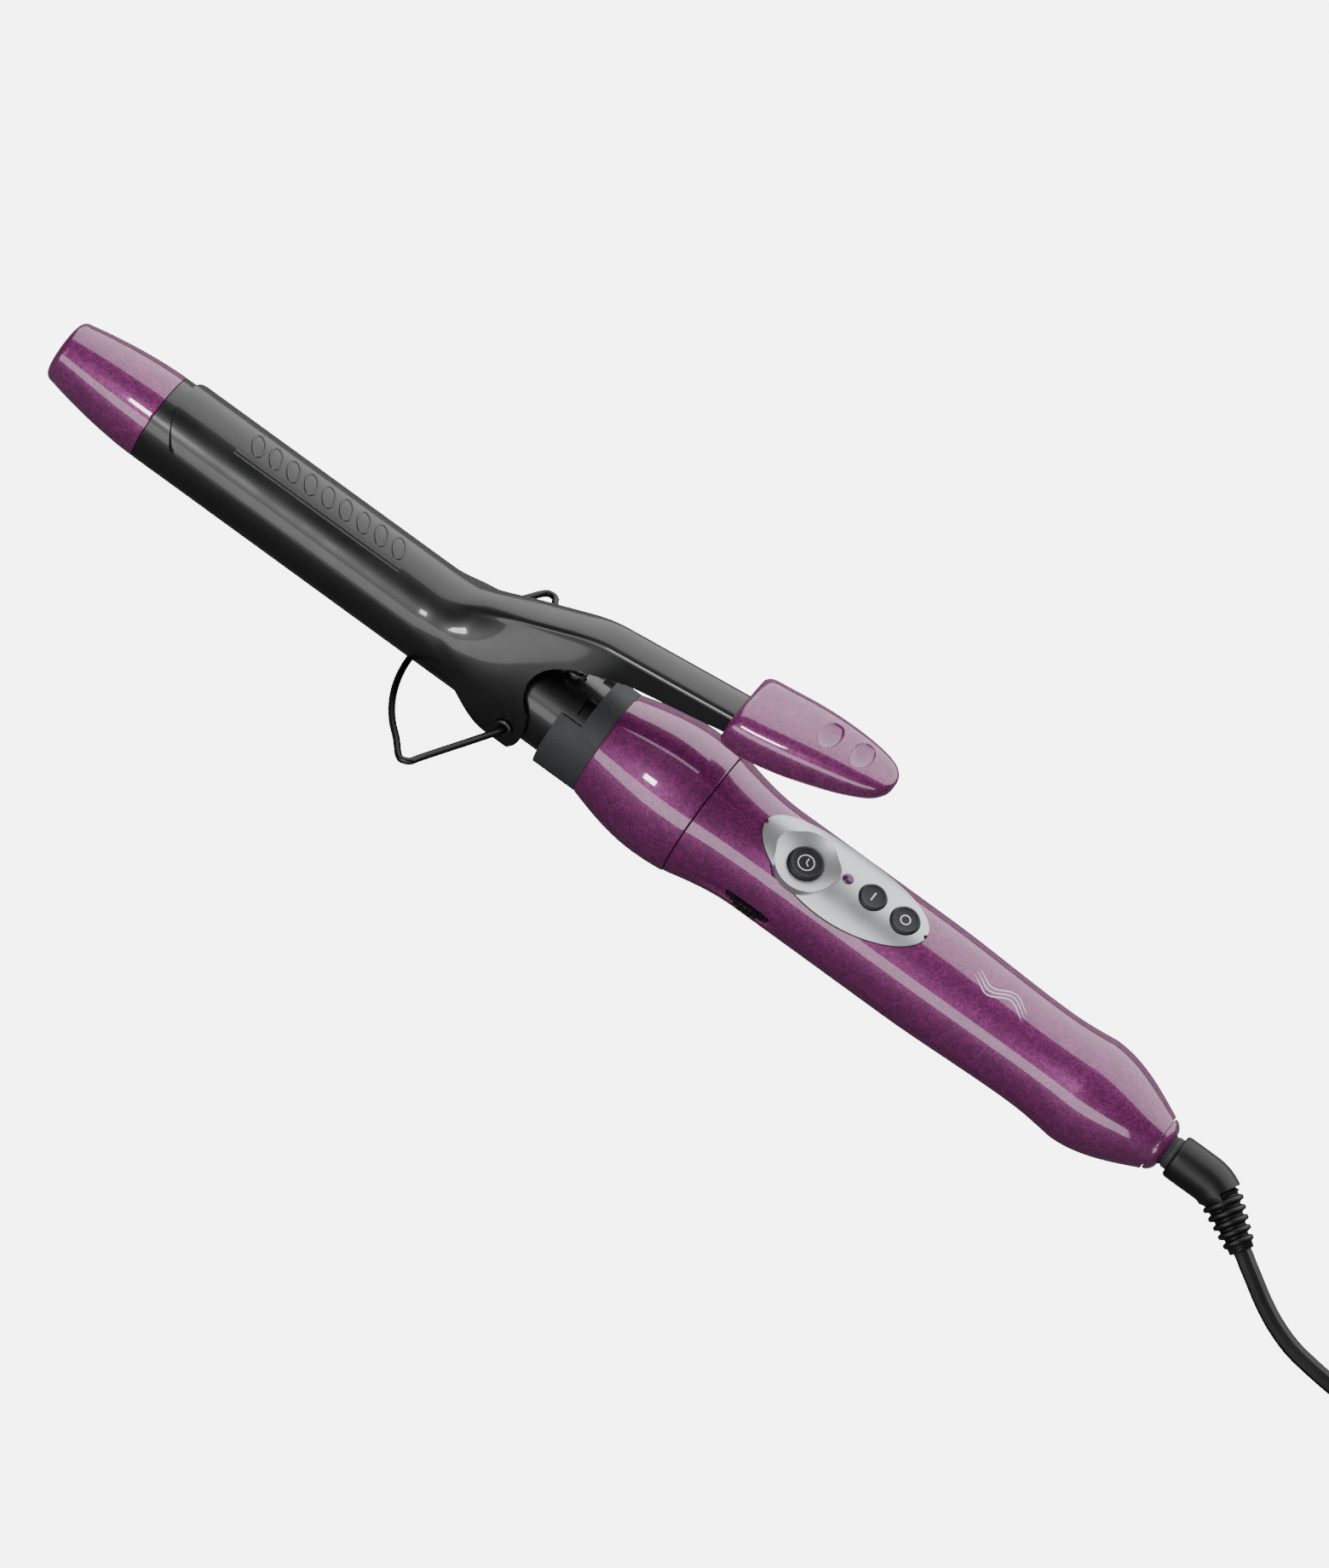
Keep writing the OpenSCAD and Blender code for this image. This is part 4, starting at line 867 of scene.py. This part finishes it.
def clamp_section(x, t):
    """Half of the clamp's section: y and z from the top at t = 0 to the lower edge at t = 1."""
    top = lever_top(x)
    rising = eased((x - KINK_X + 2) / (HINGE_X - KINK_X - 8))
    narrowing = eased((x - HINGE_X - 3) / 18)
    low = mix(SPOON_R * math.cos(WRAP), HINGE_Z - EAR_R, eased((x - KINK_X) / (HINGE_X - 4 - KINK_X)))
    depth = FLANGE + 3.5 * (1 - min(1, max(0, (x - CREST_X - 4) / RUN)))
    wide = ridge(t, top, EAR_Y, low, 0.75)
    narrow = ridge(t, top, LEVER_W / 2 - SHEET / 2 + 0.3, top - depth, 1)
    skirting = t * t * min(1, rising * 2)
    dome = SPOON_R * math.sin(WRAP * t), SPOON_R * math.cos(WRAP * t) + top - SPOON_R
    lowered = mix(dome[0], EAR_Y, skirting), mix(dome[1], low, skirting)
    return tuple(mix(mix(l, w, rising), n, narrowing) for l, w, n in zip(lowered, wide, narrow))


clamp_bm = bmesh.new()
bmesh.ops.create_grid(clamp_bm, x_segments=168, y_segments=64, size=1)
for v in clamp_bm.verts:
    x = mix(SPOON_START, LEVER_END, (v.co.x + 1) / 2)
    y, z = clamp_section(x, abs(v.co.y))
    v.co = place(x, math.copysign(y, v.co.y) if abs(v.co.y) > 1e-6 else 0, z)
bmesh.ops.recalc_face_normals(clamp_bm, faces=clamp_bm.faces[:])
if clamp_bm.faces[:][0].normal.z < 0:
    bmesh.ops.reverse_faces(clamp_bm, faces=clamp_bm.faces[:])
for v in clamp_bm.verts:
    v.normal_update()
    v.co += v.normal * SHEET / 2 * MM
bmesh.ops.solidify(clamp_bm, geom=clamp_bm.faces[:], thickness=SHEET * MM)
clamp = make_piece("clamp_pressing", clamp_bm, coating, "clamp", "coated_clamp", "clamp_spoon")


def side_prism(outline, half_width):
    """A prism through the iron from an outline of (x, z) in mm."""
    bm = bmesh.new()
    face = bm.faces.new([bm.verts.new(place(x, -half_width, z)) for x, z in outline])
    thicken(bm, [face], (0, 2 * half_width * MM, 0))
    return bm


opening = smooth([Vector((HINGE_X + x, z, 0)) for x, z in (
    (1, HINGE_Z - EAR_R - 2), (4.6, HINGE_Z - 3.6), (5.2, HINGE_Z + 1), (4, HINGE_Z + 7), (0.6, 8),
    (-0.7, 13), (0.8, 17.6), (4.5, 21.4), (10, 24.4), (18, 26.6))], 8)
carve(clamp, side_prism([(p.x, p.y) for p in opening] + [
    (HINGE_X + 30, 27), (HINGE_X + 30, -30), (HINGE_X + 1, -30)], 25))
for side in (-1, 1):
    round_r, half = 10, SPOON_R * math.sin(WRAP) + SHEET
    corner = bmesh.new()
    outline = [
        (SPOON_START - 1, half - round_r), (SPOON_START - 1, half + 1), (SPOON_START + round_r, half + 1)]
    for i in range(25):
        a = math.radians(90 + 90 * i / 24)
        outline.append((
            SPOON_START + round_r + round_r * math.cos(a), half - round_r + round_r * math.sin(a)))
    face = corner.faces.new([corner.verts.new(place(x, side * y, -BARREL_R)) for x, y in outline])
    thicken(corner, [face], (0, 0, 30 * MM))
    carve(clamp, corner)


def cross_cylinder(r, y0, y1, segments=48):
    """A cylinder along the hinge's own axis."""
    bm = bmesh.new()
    bmesh.ops.create_cone(
        bm, cap_ends=True, segments=segments, radius1=r * MM, radius2=r * MM, depth=(y1 - y0) * MM)
    bmesh.ops.rotate(bm, cent=(0, 0, 0), matrix=Matrix.Rotation(math.pi / 2, 3, "X"), verts=bm.verts[:])
    bmesh.ops.translate(bm, vec=place(HINGE_X, (y0 + y1) / 2, HINGE_Z), verts=bm.verts[:])
    return bm


EYELET_HOLE_R = 1.65
carve(clamp, cross_cylinder(EYELET_HOLE_R, -25, 25))
bevelled(clamp, 0.22, 2, 50)
RAISED_R, RAISED_OUT = 0.34, -0.12


def on_spoon(x, degrees, proud):
    """A point on the spoon's outside, that many degrees from its top towards the buttons' side."""
    r = SPOON_R + SHEET / 2 + proud
    a = math.radians(degrees)
    return place(x, -r * math.sin(a), r * math.cos(a))


for i, degrees in enumerate((24.5, 28.5)):
    line = [on_spoon(23 + 54 * k / 24, degrees, RAISED_OUT) for k in range(25)]
    make_piece(
        f"clamp_raised_line_{i + 1}", round_bar(line, RAISED_R * MM, 4), coating, "clamp", "coated_clamp")
for i in range(9):
    middle = 27 + 5.75 * i
    line = []
    for k in range(73):
        a = 2 * math.pi * k / 72
        line.append(on_spoon(
            middle + 1.9 * math.cos(a) + 1.2 * math.sin(a), 3 + 14 * math.sin(a), RAISED_OUT))
    make_piece(
        f"clamp_raised_loop_{i + 1}", round_bar(line, RAISED_R * MM, 4), coating, "clamp", "coated_clamp")


# ---- Thumb rest ----
# A hollow ABS cap in the same lacquer, pushed over the lever's end. Its top has two small dimples
# for the thumb, and a rim runs round its lower edge.
REST_LEN, REST_W, REST_H = 44.4, 24.8, 16.2
REST_Z = lever_top(REST_X) - 1.1
rest_stations = [Vector(s) for s in (
    (0, 0, 0.90), (0.02, 0.05, 0.96), (0.06, 0.2, 0.99), (0.16, 0.6, 1.00), (0.3, 1.7, 0.99),
    (0.45, 3.1, 0.95), (0.6, 4.6, 0.87), (0.74, 6.0, 0.77), (0.86, 7.2, 0.64), (0.94, 8.0, 0.49),
    (0.985, 8.5, 0.3), (1, 8.7, 0.14))]
rest_heights = [Vector(s) for s in (
    (0.72, 0.78, 0), (0.84, 0.88, 0), (0.94, 0.94, 0), (1.00, 0.97, 0), (1.03, 0.93, 0),
    (1.01, 0.85, 0), (0.93, 0.74, 0), (0.81, 0.62, 0), (0.67, 0.48, 0), (0.52, 0.35, 0),
    (0.34, 0.21, 0), (0.17, 0.1, 0))]
rest_bm = bmesh.new()
rings = []
for s, h in zip(smooth(rest_stations, 5), smooth(rest_heights, 5)):
    ring = bmesh.ops.create_circle(rest_bm, segments=120, radius=1.0)["verts"]
    for v in ring:
        side, up = v.co.x, v.co.y
        height = REST_H / 2 * (h.x if up > 0 else h.y)
        v.co = place(
            REST_X + s.x * REST_LEN,
            REST_W / 2 * s.z * math.copysign(abs(side) ** 0.741, side),
            REST_Z + s.y + height * math.copysign(abs(up) ** 0.741, up))
    rings.append(ring)
skin_rings(rest_bm, rings)
rest = make_piece("thumb_rest_cap", rest_bm, pearl, "clamp", "pearl_purple", "thumb_rest", sharp=50)
SOCKET_X, SOCKET_DROP, SOCKET_LEN, SOCKET_H, SOCKET_ROOM = REST_X + 7.2, 2.95, 21, 7.6, 0.9
socket = bmesh.new()
bmesh.ops.create_cube(socket, size=MM)
bmesh.ops.scale(socket, vec=(SOCKET_LEN, LEVER_W + SOCKET_ROOM, SOCKET_H), verts=socket.verts[:])
bmesh.ops.rotate(
    socket, cent=(0, 0, 0), matrix=Matrix.Rotation(-math.atan(LEVER_SLOPE), 3, "Y"),
    verts=socket.verts[:])
bmesh.ops.translate(
    socket, vec=place(SOCKET_X, 0, lever_top(SOCKET_X) - SOCKET_DROP), verts=socket.verts[:])
carve(rest, socket)
for i in (0, 1):
    dimple = bmesh.new()
    bmesh.ops.create_uvsphere(dimple, u_segments=64, v_segments=32, radius=MM)
    bmesh.ops.scale(dimple, vec=(3.4, 6.0, 2.0), verts=dimple.verts[:])
    bmesh.ops.translate(
        dimple, vec=place(REST_X + 0.52 * REST_LEN + 10 * i, -1, REST_Z + 12.3 + i), verts=dimple.verts[:])
    carve(rest, dimple)


# ---- Hinge and stand ----
# Rolled steel eyelets go through the clamp's ears and the barrel's wall, and the ends of the wire
# stand turn in them. The stand is one bent 2 mm spring wire, black-coated.
for side, name in ((-1, "near"), (1, "far")):
    eyelet = bmesh.new()
    outline = (
        (10.4, 1.05), (10.4, 1.6), (14.6, 1.6), (14.62, 2.5), (14.75, 2.68), (15.0, 2.74), (15.25, 2.6),
        (15.45, 2.2), (15.45, 1.6), (15.3, 1.2), (15.1, 1.05), (10.4, 1.05))
    verts = [eyelet.verts.new(place(HINGE_X + r, side * y, HINGE_Z)) for y, r in outline]
    edges = [eyelet.edges.new(pair) for pair in zip(verts, verts[1:])]
    bmesh.ops.spin(eyelet, geom=verts + edges, cent=place(HINGE_X, 0, HINGE_Z), axis=(0, 1, 0),
                   angle=2 * math.pi, steps=48, use_merge=True)
    nodes = ("hinge_eyelets",) if side < 0 else ()
    make_piece(f"{name}_hinge_eyelet", eyelet, coating, "root", "coated_clamp", *nodes, sharp=50)

FOLD, REACH, STAND_HALF, HINGE_Y, WIRE_R = math.radians(17.6), 34.2, 41.3, 17.0, 1.0
deep = REACH - 14.2
arc_r = (STAND_HALF ** 2 + deep ** 2) / (2 * deep)
half_wire = [
    (0, 10.8), (0, HINGE_Y - 1.6), (0.15, HINGE_Y - 0.5), (0.8, HINGE_Y + 0.6),
    (6, mix(HINGE_Y, STAND_HALF, 0.40)), (12.4, STAND_HALF - 3.4), (13.6, STAND_HALF - 1),
    (15.4, STAND_HALF - 0.1), (17.4, STAND_HALF - 1)]
for i in range(1, 9):
    y = (STAND_HALF - 1) * (1 - i / 8) - 0.9 * (8 - i) / 8
    half_wire.append((REACH - arc_r + math.sqrt(arc_r ** 2 - y * y), y))
whole_wire = [(x, -y) for x, y in half_wire] + [(x, y) for x, y in half_wire[-2::-1]]
wire_line = [
    place(HINGE_X - p.x * math.cos(FOLD), p.y, HINGE_Z - p.x * math.sin(FOLD))
    for p in smooth([Vector((x, y, 0)) for x, y in whole_wire], 5)]
coated_wire = new_material(
    "black_oxide_spring_wire", "0a0a0b", 0.34, 0.3, 0.15, "121214", Metallic=0.3)  # dark, oily gleam
make_piece(
    "stand_spring_wire", round_bar(wire_line, WIRE_R * MM, 5), coated_wire, "stand", "stand_wire",
    "stand_wire")


# ---- Clamp spring ----
# A compression spring of plain steel wire between the saddle and the lever.
spring_steel = new_material(
    "drawn_spring_steel", "8d9094", 0.3, 0.3, 0.1, "7e8185", Metallic=1.0)  # bright, grey
SPRING_X, SPRING_FOOT = BARREL_LEN - 3.3, BARREL_R + 1.2
SPRING_R, SPRING_WIRE_R, SPRING_TURNS = 3.0, 0.45, 8
coil_foot = SPRING_FOOT + SPRING_WIRE_R
coil_height = lever_top(SPRING_X) - SHEET - SPRING_WIRE_R - coil_foot
coil_line = []
for i in range(24 * SPRING_TURNS + 1):
    a = math.radians(15 * i)
    coil_line.append(place(
        SPRING_X + SPRING_R * math.cos(a), SPRING_R * math.sin(a),
        coil_foot + coil_height * i / (24 * SPRING_TURNS)))
spring = make_piece(
    "clamp_coil_spring", round_bar(coil_line, SPRING_WIRE_R * MM, 3), spring_steel, "root",
    "spring_steel", "clamp_spring")
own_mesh(spring)


# ---- Electronics in the handle ----
# A glass-fibre board carries the switches, the lamp and the lead terminal; the potentiometer sits
# under the wheel. Brass springs rub on the swivel's rings. None of it shows on a closed iron.
finish_node(new_material("solder_resist_green", "2f6b3c", 0.35, 0.6, 0.1, "275c33"), "control_board")
finish_node(black_abs, "tact_switches")
finish_node(
    new_material("moulded_white_nylon", "e4e2dc", 0.5, 0.4, 0.1, "dad8d0"), "lead_terminal", "swivel_bush")
finish_node(new_material("frosted_epoxy_lens", "dfe4e0", 0.35, 0.4, 0.05, "ccd2cd"), "indicator_led")
finish_node(new_material("blue_phenolic_case", "34558a", 0.45, 0.4, 0.1, "2d4b7b"), "potentiometer")
finish_node(zinc, "wheel_spindle")
finish_node(pvc, "mains_leads")
finish_node(brass, "contact_springs", "contact_rings")


# ---- Swivel neck and strain relief ----
# The cord turns in the tail on a neck of dark nylon. The strain relief is soft PVC moulded over
# the cord: a stout boot, an elbow, and a ribbed tail that lets it bend.
neck_line = [
    (308.0, 0), (308.0, NECK_R), (314.3, NECK_R), (314.3, NECK_R + 1.4), (315.7, NECK_R + 1.4),
    (315.7, NECK_R), (329.3, NECK_R), (329.6, NECK_R - 0.35), (330.0, NECK_R - 0.35), (330.3, NECK_R),
    (331.7, NECK_R), (331.7, 3.0), (323.7, 3.0), (323.7, 0)]
make_piece("swivel_neck", spun(neck_line, 72), grained_nylon, "swivel", "collar_grey", "swivel_hub")

BEND, NECK_END, ELBOW_X, LEG = math.radians(32.7), 331.7, 345.0, 18.7
leg_way = Vector((math.cos(BEND), -math.sin(BEND) / math.sqrt(2), -math.sin(BEND) / math.sqrt(2)))
RELIEF_BACK = 3.4  # how far before the elbow's corner the bend starts
relief_line, relief_radii = [], []


def relief_ring(point, radius):
    """Adds one ring to the strain relief's line."""
    relief_line.append(place(*point))
    relief_radii.append(radius)


for x, r in (
        (NECK_END - 8, 2.95), (NECK_END - 0.02, 2.95), (NECK_END, 5.6), (NECK_END + 0.3, 6.0),
        (NECK_END + 0.8, 6.25), (NECK_END + 1.4, 6.3), (NECK_END + 6, 6.3), (ELBOW_X - RELIEF_BACK, 6.3)):
    relief_ring((x, 0, 0), r)
for i in range(1, 9):
    a = BEND * i / 9
    bend_r = RELIEF_BACK / math.tan(BEND / 2)
    sideways = -(1 - math.cos(a)) * bend_r / math.sqrt(2)
    relief_ring((ELBOW_X - RELIEF_BACK + bend_r * math.sin(a), sideways, sideways), 6.3 - 0.03 * i)
RIBS, PITCH = 5, LEG / 7


def on_leg(distance):
    """A point on the strain relief's bent tail, that far from the elbow's corner."""
    return Vector((ELBOW_X, 0, 0)) + leg_way * distance


for distance, r in ((3.5, 5.95), (PITCH + 0.6, 5.7)):
    relief_ring(on_leg(distance), r)
for i in range(RIBS):
    start = (i + 1) * PITCH + 0.7
    r = mix(5.7, 4.3, i / (RIBS - 1))
    for step, by in (
            (0.0, -0.35), (0.12, -0.95), (0.34, -1.0), (0.46, -0.35), (0.56, 0), (0.86, -0.02),
            (0.96, -0.25)):
        relief_ring(on_leg(start + step * PITCH), r + by)
for distance, r in ((6.35 * PITCH, 3.5), (LEG - 0.3, 3.45), (LEG, 3.1)):
    relief_ring(on_leg(distance), r)
relief = make_piece(
    "ribbed_strain_relief", round_bar(relief_line, MM, 10, relief_radii), pvc, "swivel", "black_rubber",
    "strain_relief", sharp=60)
